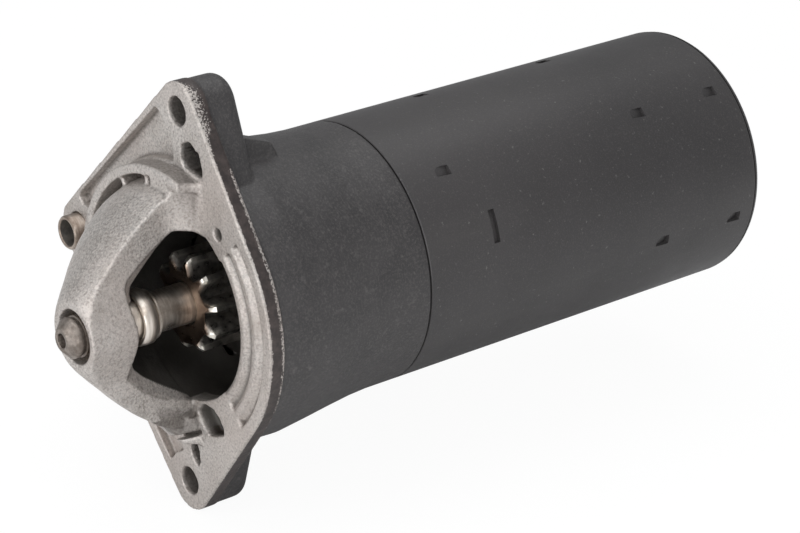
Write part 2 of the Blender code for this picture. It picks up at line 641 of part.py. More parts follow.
def make_brush_gear():
    holder = tube("brush_holder", 0.0297, 0.0165, -0.1700, -0.1724, steps=32)
    for number in range(BRUSH_COUNT):
        turn = (0, 0, pi / 4 + 2 * pi * number / BRUSH_COUNT)
        add(holder, box(f"guide_{number}", (0.0170, -0.0055, -0.1710), (0.0270, 0.0055, -0.1558), turn=turn))
        cut(holder, box(f"pocket_{number}", (0.0140, -0.0038, -0.1694), (0.0295, 0.0038, -0.1566), turn=turn))
        brush = box(f"brush_{number + 1}", (COMMUTATOR_RADIUS + 0.0004, -0.0035, BRUSH_BACK),
                    (0.0250, 0.0035, BRUSH_FRONT), turn=turn)
        finish(brush, CARBON)
        route = ((0.0260, 0, -0.1590), (0.0260, 0, -0.1650), (0.0285, 0, -0.1650), (0.0285, 0, -0.1695))
        finish(wire(f"brush_spring_{number + 1}", route, 0.0005, turn=turn), STEEL)
    finish(holder, PLASTIC)


def make_motor():
    yoke = tube("yoke_tube", YOKE_RADIUS, YOKE_INNER_RADIUS, YOKE_FRONT, YOKE_BACK, steps=64)
    lead_hole = pin("lead_hole", 0.0055, 0.045, 0.030, steps=24, turn=(0, pi / 2, 0), parent=SIDE)
    lead_hole.location = (0, 0, -0.160)
    cut(yoke, lead_hole)
    finish(yoke, BLACK_PAINT)
    for number in range(MAGNET_COUNT):
        middle = MAGNET_PHASE + 2 * pi * number / MAGNET_COUNT
        low, high = middle - MAGNET_SPAN / 2, middle + MAGNET_SPAN / 2
        outline = circle((0, 0), YOKE_INNER_RADIUS - GAP, 8, low, high)
        outline += circle((0, 0), MAGNET_INNER_RADIUS, 8, low, high)[::-1]
        finish(plate(f"magnet_{number + 1}", [outline], MAGNET_FRONT, MAGNET_BACK), FERRITE)
    make_rear_end()
    make_lead()


def make_rear_end():
    profile = ((0.0093, REAR_END), (0.0093, -0.1850), (0.0078, -0.1850), (0.0078, -0.1757), (0.0110, -0.1757),
               (0.0120, -0.1810), (INSERT_RADIUS, -0.1810), (INSERT_RADIUS, YOKE_BACK - GAP),
               (COVER_RADIUS, YOKE_BACK - GAP), (COVER_RADIUS, -0.1862), (0.0379, REAR_END))
    cover = turned("commutator_end_cover", profile, steps=44)
    for number, centre in enumerate(bolt_places()):
        cut(cover, pin(f"cover_hole_{number}", BOLT_RADIUS + GAP, -0.178, -0.190, centre, 12),
            pin(f"cover_recess_{number}", BOLT_HEAD_RADIUS + 0.0004, -0.1840, -0.190, centre, 16))
        bolt = ((0, -0.0445), (BOLT_RADIUS, -0.0445), (BOLT_RADIUS, -0.1843), (BOLT_HEAD_RADIUS, -0.1843),
                (BOLT_HEAD_RADIUS, REAR_END + GAP), (0, REAR_END + GAP))
        finish(turned(f"through_bolt_{number + 1}", bolt, (*centre, 0), 16), STEEL)
    finish(cover, BLACK_PAINT)
    finish(tube("rear_bush", REAR_BUSH_RADIUS, 0.0053, -0.1760, -0.1846), BRONZE)
    finish(pin("rear_dust_cap", 0.0090, -0.1853, -0.1868, steps=32), STEEL)


def make_lead():
    """The strap from the solenoid's motor stud to the brushes, with its grommet in the yoke."""
    grommet = turned("lead_grommet", ((0.0070, 0.0415), (0.0070, 0.0393), (0.0052, 0.0393),
                                      (0.0052, 0.0350), (0.0028, 0.0350), (0.0028, 0.0415)),
                     (0, 0, -0.160), 24, turn=(0, pi / 2, 0), parent=SIDE)
    finish(grommet, RUBBER)
    route = ((0.0495, 0, -0.1196), (0.0475, 0, -0.1197), (0.0455, 0, -0.1210), (0.0445, 0, -0.1240),
             (0.0445, 0, -0.1400), (0.0445, 0, -0.1540), (0.0440, 0, -0.1575), (0.0425, 0, -0.1595),
             (0.0400, 0, -0.1600), (0.0330, 0, -0.1600))
    lead = wire("motor_lead", route, 0.0020, resolution=3, parent=SIDE)
    eye = tube("lead_eye", 0.0058, 0.0033, -0.1173, -0.1193, (SOLENOID_DISTANCE - STUD_OFFSET, 0), 24,
               parent=SIDE)
    add(lead, eye)
    cut(lead, pin("eye_hole", 0.0033, -0.110, -0.130, (SOLENOID_DISTANCE - STUD_OFFSET, 0), 24, parent=SIDE))
    finish(lead, COPPER)


make_drive_end()
make_output_shaft()
make_pinion()
make_lever()
make_solenoid()
make_gears()
make_armature()
make_brush_gear()
make_motor()
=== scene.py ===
"""Looks for the starter motor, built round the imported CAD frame. The housing, yoke, shaft end, pinion and
the other visible pieces are modelled in millimetres, nose up, and then laid down into the row frame."""

import json
from math import cos, hypot, pi, radians, sin

import bmesh
import bpy
import numpy as np
from mathutils import Matrix, Vector


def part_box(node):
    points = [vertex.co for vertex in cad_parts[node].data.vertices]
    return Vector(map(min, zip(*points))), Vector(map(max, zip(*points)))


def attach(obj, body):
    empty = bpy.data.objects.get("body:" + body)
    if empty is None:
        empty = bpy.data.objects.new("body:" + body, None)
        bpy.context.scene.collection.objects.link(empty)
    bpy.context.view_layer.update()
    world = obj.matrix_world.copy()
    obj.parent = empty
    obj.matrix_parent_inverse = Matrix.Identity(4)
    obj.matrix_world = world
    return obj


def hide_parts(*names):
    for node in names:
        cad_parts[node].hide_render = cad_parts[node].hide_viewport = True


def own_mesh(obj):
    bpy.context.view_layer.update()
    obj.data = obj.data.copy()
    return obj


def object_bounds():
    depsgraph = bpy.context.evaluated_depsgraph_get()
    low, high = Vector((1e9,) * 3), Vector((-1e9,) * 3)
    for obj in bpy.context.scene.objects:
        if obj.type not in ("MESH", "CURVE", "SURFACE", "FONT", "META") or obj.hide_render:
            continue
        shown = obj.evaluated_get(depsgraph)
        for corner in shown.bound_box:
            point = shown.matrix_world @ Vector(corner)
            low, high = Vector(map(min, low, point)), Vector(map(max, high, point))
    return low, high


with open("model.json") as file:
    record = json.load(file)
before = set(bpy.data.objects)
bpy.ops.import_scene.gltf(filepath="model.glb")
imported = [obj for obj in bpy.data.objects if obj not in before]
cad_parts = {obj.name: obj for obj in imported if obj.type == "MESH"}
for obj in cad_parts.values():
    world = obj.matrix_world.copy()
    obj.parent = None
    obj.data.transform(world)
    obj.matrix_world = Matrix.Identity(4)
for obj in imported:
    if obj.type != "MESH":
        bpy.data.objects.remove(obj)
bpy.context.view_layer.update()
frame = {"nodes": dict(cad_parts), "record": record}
NODES = frame["nodes"]

MM = 0.001
LAID_DOWN = Matrix.Scale(MM, 4) @ Matrix.Rotation(pi / 2, 4, "X")
SIDE_TURN = Matrix.Rotation(radians(210), 4, "Z")

# Places and sizes on the flange, in millimetres from the shaft's axis.
TOP_EAR, TOP_EAR_RADIUS = (1.5, 57.6), 8.3
BOTTOM_EAR, BOTTOM_EAR_RADIUS = (1.4, -55.2), 8.8
DOWEL_EAR, DOWEL_EAR_RADIUS = (-52.8, 4.6), 9.0
EARS = ((TOP_EAR, TOP_EAR_RADIUS), (BOTTOM_EAR, BOTTOM_EAR_RADIUS), (DOWEL_EAR, DOWEL_EAR_RADIUS))
SMALL_HOLE = (19.4, 27.5)
FLANGE_RADIUS = 43.0
FLANGE_THICKNESS = 5.0
EAR_THICKNESS = 15.5
EAR_ROUNDING = 3.5
BOLT_HOLE_RADIUS = 4.2

# The barrel and the yoke behind it.
BARREL_END = -58.3
YOKE_RADIUS, YOKE_BORE = 39.0, 36.1
BOLT_CIRCLE = 32.3
BOLT_PLACES = [(BOLT_CIRCLE * cos(a), BOLT_CIRCLE * sin(a)) for a in (radians(79.5), radians(259.5))]
# The yoke's lanced tabs, as distances behind the flange and angles round the axis.
TABS = ((72.8, 50), (147.2, 50), (176.7, 50), (147.4, -10.5), (177.1, -10.5), (91.7, 104), (139.3, 104),
        (92.0, 170), (148.0, 170), (92.0, 230), (148.0, 230), (92.0, 290), (148.0, 290))

# The solenoid is placed along X, and then turned to its side with SIDE_TURN.
SOLENOID_AXIS = (63.6, 0)
STUD_PLACES = ((54.6, 0), (72.6, 0))
SCREW_PLACES = ((63.6, -17.3), (63.6, 17.3))

PINION_TEETH = 10
TOOTH_LENGTH = 14.0
TOOTH_TURN = radians(11)

VOXEL = 0.42


# ---------------------------------------------------------------- shapes


def circle(centre, radius, count, start=0.0, end=2 * pi):
    """Points round a circle, or along an arc from its start to its end."""
    whole = end - start >= 2 * pi
    steps = count if whole else count - 1
    angles = [start + (end - start) * i / steps for i in range(count)]
    return [(centre[0] + radius * cos(a), centre[1] + radius * sin(a)) for a in angles]


def hull(points):
    """The convex outline round the points, counter-clockwise."""
    def half(ordered):
        kept = []
        for x, y in ordered:
            while len(kept) > 1:
                (ax, ay), (bx, by) = kept[-2:]
                if (bx - ax) * (y - ay) - (by - ay) * (x - ax) > 0:
                    break
                kept.pop()
            kept.append((x, y))
        return kept[:-1]

    ordered = sorted(set(points))
    return half(ordered) + half(ordered[::-1])


def mesh_from(body, name):
    bmesh.ops.remove_doubles(body, verts=body.verts, dist=1e-5)
    bmesh.ops.recalc_face_normals(body, faces=body.faces)
    mesh = bpy.data.meshes.new(name)
    body.to_mesh(mesh)
    body.free()
    return bpy.data.objects.new(name, mesh)


def turned(name, profile, steps=96, at=(0, 0), start=0.0, sweep=2 * pi):
    """A solid of revolution about Z. A part sweep gets flat ends."""
    whole = sweep >= 2 * pi - 1e-6
    count = steps if whole else steps + 1
    body = bmesh.new()
    rings = []
    for i in range(count):
        angle = start + sweep * i / steps
        rings.append([body.verts.new((at[0] + r * cos(angle), at[1] + r * sin(angle), z))
                      for r, z in profile])
    last = len(profile)
    for i in range(steps):
        near, far = rings[i], rings[(i + 1) % count]
        for j in range(last):
            k = (j + 1) % last
            if profile[j][0] == 0 and profile[k][0] == 0:
                continue
            corners = [near[j], near[k], far[k], far[j]]
            if profile[j][0] == 0:
                corners = [near[j], near[k], far[k]]
            elif profile[k][0] == 0:
                corners = [near[j], near[k], far[j]]
            body.faces.new(corners)
    if not whole:
        body.faces.new(rings[0])
        body.faces.new(rings[-1])
    return mesh_from(body, name)


def pin(name, radius, top, bottom, at=(0, 0), steps=48):
    return turned(name, ((0, top), (radius, top), (radius, bottom), (0, bottom)), steps, at)


def tube(name, outer, inner, top, bottom, steps, start, sweep):
    profile = ((outer, top), (outer, bottom), (inner, bottom), (inner, top))
    return turned(name, profile, steps, start=start, sweep=sweep)


def linked(obj):
    bpy.context.scene.collection.objects.link(obj)
    return obj


def evaluated(obj):
    """The object's mesh with its modifiers applied."""
    graph = bpy.context.evaluated_depsgraph_get()
    return bpy.data.meshes.new_from_object(obj.evaluated_get(graph))


def applied(obj, *used):
    """A new object with the evaluated mesh, in place of the old one and of those that it used up."""
    name = obj.name
    mesh = evaluated(obj)
    mesh.name = name
    for old in (*used, obj):
        bpy.data.objects.remove(old)
    return bpy.data.objects.new(name, mesh)


def curve_mesh(curve):
    """A curve's surface and end caps, as a bmesh."""
    holder = linked(bpy.data.objects.new("holder", curve))
    mesh = evaluated(holder)
    bpy.data.objects.remove(holder)
    body = bmesh.new()
    body.from_mesh(mesh)
    bpy.data.meshes.remove(mesh)
    return body


def plate(name, outline, top, bottom, rounding=0.0):
    """A flat plate, its edges rounded if asked."""
    curve = bpy.data.curves.new(name, "CURVE")
    curve.dimensions = "2D"
    curve.fill_mode = "BOTH"
    curve.extrude = (top - bottom) / 2 - rounding
    if rounding:
        curve.bevel_depth = rounding
        curve.offset = -rounding
        curve.bevel_resolution = 4
    spline = curve.splines.new("POLY")
    spline.points.add(len(outline) - 1)
    spline.use_cyclic_u = True
    for point, (x, y) in zip(spline.points, outline):
        point.co = (x, y, 0, 1)
    obj = mesh_from(curve_mesh(curve), name)
    obj.data.transform(Matrix.Translation((0, 0, (top + bottom) / 2)))
    return obj


def box(name, low, high):
    body = bmesh.new()
    size = Vector(high) - Vector(low)
    middle = (Vector(high) + Vector(low)) / 2
    bmesh.ops.create_cube(body, size=1, matrix=Matrix.Translation(middle) @ Matrix.Diagonal((*size, 1)))
    return mesh_from(body, name)


def moved(obj, matrix):
    obj.data.transform(matrix)
    return obj


def sideways_plate(name, outline, low, high):
    """A plate with its outline given as (y, z) and its thickness running from low to high along X."""
    return moved(plate(name, outline, high, low),
                 Matrix(((0, 0, 1, 0), (1, 0, 0, 0), (0, 1, 0, 0), (0, 0, 0, 1))))


def standing_plate(name, outline, low, high):
    """A plate with its outline given as (x, z) and its thickness running from low to high along Y."""
    return moved(plate(name, outline, -low, -high),
                 Matrix(((1, 0, 0, 0), (0, 0, -1, 0), (0, 1, 0, 0), (0, 0, 0, 1))))


def combined(base, others, operation):
    """The base with a Boolean of all the others, which are used up."""
    group = bpy.data.collections.new("operands")
    bpy.context.scene.collection.children.link(group)
    for other in others:
        group.objects.link(other)
    modifier = linked(base).modifiers.new("shape", "BOOLEAN")
    modifier.operation = operation
    modifier.solver = "EXACT"
    modifier.operand_type = "COLLECTION"
    modifier.collection = group
    result = applied(base, *others)
    bpy.data.collections.remove(group)
    return result


def remeshed(obj, voxel, smoothing, kept_share):
    """The shape as one skin of small even faces, with its corners softened as a casting's are."""
    skin = linked(obj).modifiers.new("skin", "REMESH")
    skin.mode = "VOXEL"
    skin.voxel_size = voxel
    soften = obj.modifiers.new("soften", "SMOOTH")
    soften.factor = 0.5
    soften.iterations = smoothing
    thin = obj.modifiers.new("thin", "DECIMATE")
    thin.ratio = kept_share
    return applied(obj)


def placed(obj, body, slot, node, material=None, turn=None, sharp=radians(40)):
    """Lays a finished shape down into the row frame in place of its node, and rides it on its body."""
    if turn is not None:
        obj.data.transform(turn)
    obj.data.transform(LAID_DOWN)
    obj.data.materials.clear()
    obj.data.materials.append(material or SLOT_MATERIALS[slot])
    for face in obj.data.polygons:
        face.use_smooth = True
    if sharp:
        obj.data.set_sharp_from_angle(angle=sharp)
    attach(linked(obj), body)
    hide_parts(node)
    return obj


def give_second(obj, material, chosen):
    """Gives a second material to the faces whose centres are chosen."""
    obj.data.materials.append(material)
    for face in obj.data.polygons:
        face.material_index = int(chosen(face.center))


# ---------------------------------------------------------------- materials


class Tree:
    """A small writer of node trees."""

    def __init__(self, name):
        self.material = bpy.data.materials.new(name)
        self.material.use_nodes = True
        self.tree = self.material.node_tree
        self.surface = self.tree.nodes["Principled BSDF"]

    def add(self, kind, **settings):
        made = self.tree.nodes.new(kind)
        for key, value in settings.items():
            setattr(made, key, value)
        return made

    def link(self, source, target):
        self.tree.links.new(source, target)

    def feed(self, socket, value):
        """Sets a socket to a number or a colour, or links another socket into it."""
        if isinstance(value, (int, float)):
            socket.default_value = value
        elif isinstance(value, tuple):
            socket.default_value = (*value, 1)
        else:
            self.link(value, socket)

    def coords(self, scale):
        place = self.add("ShaderNodeTexCoord")
        mapping = self.add("ShaderNodeMapping")
        mapping.inputs["Scale"].default_value = scale
        self.link(place.outputs["Object"], mapping.inputs["Vector"])
        return mapping.outputs["Vector"]

    def noise(self, scale, detail, roughness, stretch=(1, 1, 1)):
        made = self.add("ShaderNodeTexNoise")
        made.inputs["Scale"].default_value = scale
        made.inputs["Detail"].default_value = detail
        made.inputs["Roughness"].default_value = roughness
        self.link(self.coords(stretch), made.inputs["Vector"])
        return made.outputs["Fac"]

    def ramp(self, value, *stops):
        made = self.add("ShaderNodeValToRGB")
        elements = made.color_ramp.elements
        while len(elements) < len(stops):
            elements.new(0.5)
        for element, (place, shade) in zip(elements, stops):
            element.position = place
            element.color = (*shade, 1)
        self.link(value, made.inputs["Fac"])
        return made.outputs["Color"]

    def grey(self, value, *stops):
        return self.ramp(value, *[(place, (level, level, level)) for place, level in stops])

    def mix(self, share, first, second):
        made = self.add("ShaderNodeMix", data_type="RGBA")
        for name, kind, value in (("Factor", "VALUE", share), ("A", "RGBA", first), ("B", "RGBA", second)):
            self.feed(next(s for s in made.inputs if s.name == name and s.type == kind), value)
        return next(s for s in made.outputs if s.type == "RGBA")

    def maths(self, operation, first, second, clamp=False):
        made = self.add("ShaderNodeMath", operation=operation, use_clamp=clamp)
        for socket, value in zip(made.inputs, (first, second)):
            self.feed(socket, value)
        return made.outputs[0]

    def attribute(self, name):
        return self.add("ShaderNodeAttribute", attribute_name=name).outputs["Fac"]

    def bump(self, height, distance, strength, under=None):
        made = self.add("ShaderNodeBump")
        made.inputs["Distance"].default_value = distance
        made.inputs["Strength"].default_value = strength
        self.link(height, made.inputs["Height"])
        if under is not None:
            self.link(under, made.inputs["Normal"])
        return made.outputs["Normal"]

    def finish(self, colour, roughness, normal=None, metallic=None, specular=None):
        for name, value in (("Base Color", colour), ("Roughness", roughness), ("Normal", normal),
                            ("Metallic", metallic), ("Specular IOR Level", specular)):
            if value is not None:
                self.feed(self.surface.inputs[name], value)
        return self.material


def bare_aluminium(tree, coarse, grain):
    """Cast metal with bright grains, dark pits, warm oxide, brown stains, painted shade in its hollows and
    corners, and soil on the ring.
    """
    pits = tree.noise(1300, 2, 0.5)
    oxide = tree.noise(30, 3, 0.5)
    stain = tree.noise(45, 5, 0.6)
    bare = tree.ramp(coarse, (0.30, (0.36, 0.335, 0.315)), (0.55, (0.47, 0.445, 0.425)),
                     (0.75, (0.53, 0.51, 0.49)))
    bare = tree.mix(tree.grey(grain, (0.42, 0.0), (0.60, 0.45)), bare, (0.80, 0.745, 0.70))
    bare = tree.mix(tree.grey(pits, (0.50, 0.0), (0.66, 0.60)), bare, (0.24, 0.215, 0.20))
    bare = tree.mix(tree.grey(oxide, (0.40, 0.0), (0.62, 0.35)), bare, (0.55, 0.475, 0.44))
    bare = tree.mix(tree.grey(stain, (0.58, 0.0), (0.75, 0.5)), bare, (0.27, 0.235, 0.20))
    # Mixes in a dark brown where the mesh asks: painted shade in corners, creases and holes, and soil on the
    # ring.
    return tree.mix(tree.maths("MULTIPLY", tree.attribute("dirt_and_painted_shade"), 0.8), bare, (0.055, 0.043, 0.034))


def casting_paint(tree, coarse, grain, speck):
    """Black paint with dust in its grain, and a browner band along the flange's rim."""
    paint = tree.ramp(coarse, (0.35, (0.030, 0.028, 0.029)), (0.65, (0.044, 0.041, 0.042)))
    paint = tree.mix(tree.grey(speck, (0.60, 0.0), (0.74, 0.35)), paint, (0.16, 0.15, 0.145))
    paint = tree.mix(tree.grey(grain, (0.48, 0.0), (0.70, 0.45)), paint, (0.12, 0.112, 0.108))
    band = tree.ramp(speck, (0.4, (0.026, 0.019, 0.018)), (0.7, (0.062, 0.047, 0.043)))
    return tree.mix(tree.attribute("band"), paint, band)


def paint_cover(tree):
    """Where paint covers the casting. It breaks up into chips at its edge and where the mesh is worn."""
    flakes = tree.noise(1700, 4, 0.65)
    breakup = tree.maths("MULTIPLY", tree.maths("SUBTRACT", flakes, 0.5), 1.6)
    edge = tree.maths("ADD", tree.attribute("paint"), breakup)
    chips = tree.maths("ADD", tree.maths("MULTIPLY", flakes, 2.4), -0.62)
    worn = tree.maths("MULTIPLY", tree.attribute("wear"), chips)
    covered = tree.grey(edge, (0.47, 0.0), (0.53, 1.0))
    return tree.maths("SUBTRACT", covered, tree.grey(worn, (0.42, 0.0), (0.50, 1.0)), True)


def cast_material():
    """Bare and painted cast aluminium, split by the attributes that the housing's mesh carries."""
    tree = Tree("cast_aluminium_and_paint")
    coarse = tree.noise(90, 5, 0.6)
    grain = tree.noise(1500, 3, 0.65)
    speck = tree.noise(420, 4, 0.6)
    painted = paint_cover(tree)
    inner_shade = tree.attribute("inner_shade")
    bare = bare_aluminium(tree, coarse, grain)
    colour = tree.mix(painted, bare, casting_paint(tree, coarse, grain, speck))
    # Painted shade: a dark colour for the gear chamber and the nose's hollow.
    shade = tree.ramp(coarse, (0.3, (0.075, 0.068, 0.060)), (0.7, (0.13, 0.12, 0.11)))
    colour = tree.mix(inner_shade, colour, shade)
    bare_rough = tree.grey(grain, (0.3, 0.46), (0.7, 0.62))
    rough = tree.mix(painted, bare_rough, tree.grey(coarse, (0.3, 0.42), (0.7, 0.52)))
    unpainted = tree.maths("SUBTRACT", 1.0, painted)
    metal = tree.maths("MULTIPLY", unpainted, tree.maths("SUBTRACT", 0.82, inner_shade), True)
    height = tree.mix(0.5, tree.noise(900, 4, 0.7), tree.noise(260, 3, 0.6))
    step = tree.bump(painted, 0.00008, 0.6)
    return tree.finish(colour, rough, tree.bump(height, 0.0004, 0.8, step), metal)


def paint_material():
    """Satin black enamel on rolled steel, with dust, rubbed streaks and a fine orange peel."""
    tree = Tree("black_paint")
    broad = tree.noise(14, 4, 0.55)
    speck = tree.noise(800, 3, 0.6)
    streak = tree.noise(60, 4, 0.6, (1, 0.12, 1))
    base = tree.ramp(broad, (0.35, (0.031, 0.029, 0.030)), (0.65, (0.043, 0.040, 0.041)))
    base = tree.mix(tree.grey(streak, (0.55, 0.0), (0.75, 0.35)), base, (0.062, 0.058, 0.057))
    base = tree.mix(tree.grey(speck, (0.66, 0.0), (0.72, 0.55)), base, (0.17, 0.165, 0.16))
    grain = tree.noise(2200, 3, 0.6)
    base = tree.mix(tree.grey(grain, (0.50, 0.0), (0.70, 0.35)), base, (0.10, 0.094, 0.09))
    rough = tree.grey(tree.noise(35, 5, 0.6), (0.3, 0.40), (0.7, 0.52))
    normal = tree.bump(tree.noise(1100, 3, 0.6), 0.00006, 0.5)
    return tree.finish(base, rough, normal, specular=0.5)


def metal_material(name, dark, light, rough, stretch=(1, 1, 1), scale=300, stain=None, bump=0.00003):
    tree = Tree(name)
    grain = tree.noise(scale, 4, 0.6, stretch)
    colour = tree.ramp(grain, (0.35, dark), (0.65, light))
    if stain:
        colour = tree.mix(tree.grey(tree.noise(120, 5, 0.65), (0.5, 0.0), (0.68, 0.75)), colour, stain)
    roughness = tree.grey(tree.noise(scale * 0.7, 4, 0.6), (0.3, rough[0]), (0.7, rough[1]))
    normal = tree.bump(grain, bump, 0.6)
    return tree.finish(colour, roughness, normal, 1.0)


def dull_material(name, dark, light, rough, scale=250, bump=0.00005, metallic=0.0):
    tree = Tree(name)
    grain = tree.noise(scale, 4, 0.6)
    colour = tree.ramp(grain, (0.35, dark), (0.65, light))
    roughness = tree.grey(tree.noise(scale * 0.6, 4, 0.6), (0.3, rough[0]), (0.7, rough[1]))
    return tree.finish(colour, roughness, tree.bump(grain, bump, 0.5), metallic)


def gear_steel():
    """Oiled steel, rusty where the mesh is grimy and bright where it is worn."""
    tree = Tree("gear_steel")
    grain = tree.noise(500, 4, 0.6)
    colour = tree.ramp(grain, (0.35, (0.15, 0.14, 0.13)), (0.65, (0.33, 0.31, 0.285)))
    rust = tree.mix(tree.noise(900, 4, 0.6), (0.16, 0.10, 0.065), (0.30, 0.215, 0.16))
    colour = tree.mix(tree.maths("MULTIPLY", tree.attribute("dirt_and_painted_shade"), 0.85), colour, rust)
    rubbed = tree.grey(tree.noise(900, 3, 0.6), (0.32, 0.35), (0.5, 1.0))
    bright = tree.maths("MULTIPLY", tree.attribute("wear"), rubbed)
    colour = tree.mix(bright, colour, (0.86, 0.82, 0.74))
    rough = tree.mix(bright, tree.grey(grain, (0.3, 0.24), (0.7, 0.42)), (0.3, 0.3, 0.3))
    return tree.finish(colour, rough, tree.bump(grain, 0.00006, 0.6), 0.95)


STEEL = metal_material("turned_steel", (0.36, 0.34, 0.32), (0.55, 0.52, 0.49), (0.25, 0.40),
                       (0.3, 4, 0.3), 260)
TIP_STEEL = metal_material("dull_tip_steel", (0.20, 0.175, 0.155), (0.34, 0.30, 0.27), (0.42, 0.60),
                           (1, 1, 1), 700, (0.12, 0.09, 0.07), 0.00008)
DOWEL_STEEL = metal_material("dowel_steel", (0.26, 0.21, 0.175), (0.46, 0.40, 0.35), (0.32, 0.50),
                             (0.5, 3, 0.5), 300, (0.15, 0.10, 0.07))
GEAR_STEEL = gear_steel()
# Painted shade for the dowel's bore, as a dark colour.
BORE_SHADE = dull_material("painted_bore_shade", (0.030, 0.026, 0.022), (0.075, 0.065, 0.055), (0.5, 0.7), 400)
SLOT_MATERIALS = {
    "cast_aluminium": cast_material(),
    "black_paint": paint_material(),
    "bright_steel": STEEL,
    "worn_shaft_steel": metal_material("worn_shaft_steel", (0.56, 0.50, 0.44), (0.86, 0.80, 0.73),
                                       (0.26, 0.44), (0.4, 5, 0.4), 240, (0.30, 0.22, 0.16)),
    "oiled_steel": metal_material("oily_steel", (0.10, 0.092, 0.084), (0.22, 0.20, 0.18), (0.20, 0.42),
                                  (1, 1, 1), 500, (0.07, 0.045, 0.03), 0.00006),
    "bronze": metal_material("sintered_bronze", (0.32, 0.19, 0.08), (0.52, 0.34, 0.17), (0.40, 0.60),
                             scale=700),
    "copper": metal_material("copper", (0.50, 0.22, 0.12), (0.74, 0.38, 0.24), (0.25, 0.45), (1, 3, 1), 300),
    "ferrite": dull_material("ferrite", (0.040, 0.040, 0.043), (0.075, 0.075, 0.080), (0.60, 0.80)),
    "carbon": dull_material("brush_carbon", (0.035, 0.030, 0.030), (0.085, 0.07, 0.065), (0.45, 0.65), 900,
                            metallic=0.3),
    "black_plastic": dull_material("moulded_plastic", (0.018, 0.018, 0.019), (0.032, 0.032, 0.034),
                                   (0.38, 0.52), 600),
    "rubber": dull_material("rubber", (0.014, 0.014, 0.014), (0.030, 0.029, 0.028), (0.65, 0.85), 500),
}


# ---------------------------------------------------------------- drive-end casting


FLANGE_OUTLINE = hull([point for centre, radius in (*EARS, ((0, 0), FLANGE_RADIUS))
                       for point in circle(centre, radius, 128)])
NOSE_END = 34.7
NOSE_PROFILE = ((10.0, NOSE_END), (12.0, 33.2), (15.4, 30.2), (18.6, 27.2), (22.2, 24.0), (25.2, 21.0),
                (28.0, 18.0), (30.3, 15.0), (32.6, 12.0), (34.4, 9.0), (35.6, 6.0), (36.4, 3.0), (36.8, 0.0))
# The nose's flat window side, and the radius of the curve that joins it to the flange.
FACET_X = 5.2
ROOT_RADIUS = 9.0
# The window's edge as (height, across), first on the nose's outer face and then deeper.
WINDOW_RIM = ((0.02, 25.2), (5.5, 25.2), (8.9, 22.9), (12.4, 20.8), (16.4, 17.8), (20.2, 14.6), (21.3, 12.0),
              (21.2, 9.0), (20.4, 4.5), (19.9, 0.6), (19.9, -3.4), (20.2, -7.4), (21.0, -11.5), (21.5, -14.9),
              (16.5, -20.2), (12.1, -23.2), (8.7, -25.1), (2.0, -27.6), (0.02, -28.4))
WINDOW = ((0.02, 24.0), (6.1, 23.9), (9.2, 20.8), (11.9, 18.1), (15.4, 14.5), (18.1, 11.6), (18.5, 9.1),
          (17.7, 6.3), (16.8, 3.0), (16.8, 0.0), (17.2, -3.2), (18.3, -7.5), (18.8, -10.5), (18.2, -13.3),
          (15.2, -16.4), (9.7, -20.5), (4.8, -23.8), (1.8, -25.9), (0.02, -27.1))
WINDOW_DEPTH = 1.9
# The middles and sizes of the holes and pockets that get painted shade down in them.
SHADED_HOLES = ((TOP_EAR, 4.9), (BOTTOM_EAR, 4.9), ((7.6, 45.5), 5.6), ((5.0, -45), 4.4),
               ((13.4, -31.4), 6.8), (SMALL_HOLE, 2.4))


def flange_blank():
    """The flange with its thick ears, the barrel, the solenoid seat and the web behind the top ear."""
    barrel = ((0, -0.5), (41.8, -0.5), (42.4, -15), (41.4, -24), (40.4, -32), (39.4, -41),
              (YOKE_RADIUS, -48), (YOKE_RADIUS, BARREL_END), (0, BARREL_END))
    shapes = [turned("barrel", barrel, 192)]
    for (centre, radius), hub in zip(EARS, (30, 26, 26)):
        arm = hull(circle(centre, radius - 0.3, 64) + circle((0, 0), hub, 96))
        shapes.append(plate("ear", arm, -0.8, -EAR_THICKNESS, EAR_ROUNDING))
    seat = hull(circle((0, 0), 32, 64) + circle(SOLENOID_AXIS, 22.5, 64))
    shapes.append(moved(plate("seat", seat, -24, -50, 2.0), SIDE_TURN))
    web = [(49, -14.5), (36, -14.5), (36, -28), (41, -28), (44.6, -26), (46.8, -20)]
    shapes.append(sideways_plate("web", web, 3.5, 8.6))
    return combined(plate("drive_end_casting", FLANGE_OUTLINE, 0, -FLANGE_THICKNESS), shapes, "UNION")


def lofted(name, loops):
    """A solid through loops of equally many points."""
    body = bmesh.new()
    rings = [[body.verts.new(point) for point in loop] for loop in loops]
    count = len(rings[0])
    for low, high in zip(rings, rings[1:]):
        for i in range(count):
            k = (i + 1) % count
            body.faces.new((low[i], low[k], high[k], high[i]))
    body.faces.new(rings[0])
    body.faces.new(rings[-1])
    bmesh.ops.triangulate(body, faces=body.faces)
    return mesh_from(body, name)


def nose_solid():
    """The nose, cut flat on its window side but for a swell round its end boss."""
    nose = turned("nose", ((0, NOSE_END), *NOSE_PROFILE, (36.8, -1.0), (0, -1.0)), 192)
    beside = box("beside", (FACET_X, -60, -2), (60, 60, 60))
    swell = hull(circle((0, 0), 10, 64) + [(FACET_X, 15.0), (FACET_X, -15.0), (-5, 15.0), (-5, -15.0)])
    beside = combined(beside, [plate("swell", swell, 40, -3)], "DIFFERENCE")
    return combined(nose, [beside], "DIFFERENCE")


def nose_root():
    """The curve from the nose's flat side down to the flange, above the window."""
    arc = [(FACET_X + ROOT_RADIUS - ROOT_RADIUS * sin(a), ROOT_RADIUS - ROOT_RADIUS * cos(a))
           for a in [pi / 2 * i / 10 for i in range(11)]]
    section = [(FACET_X - 1, -1), (FACET_X + ROOT_RADIUS, -1), *arc, (FACET_X - 1, ROOT_RADIUS)]
    limit = ((0, 19), (27, 19), (32.4, 12), (34.2, 9), (35.6, 6.4), (38.9, 5.2), (38.9, -2), (0, -2))
    return combined(standing_plate("root", section, 4, 40), [turned("limit", limit, 128)], "INTERSECT")


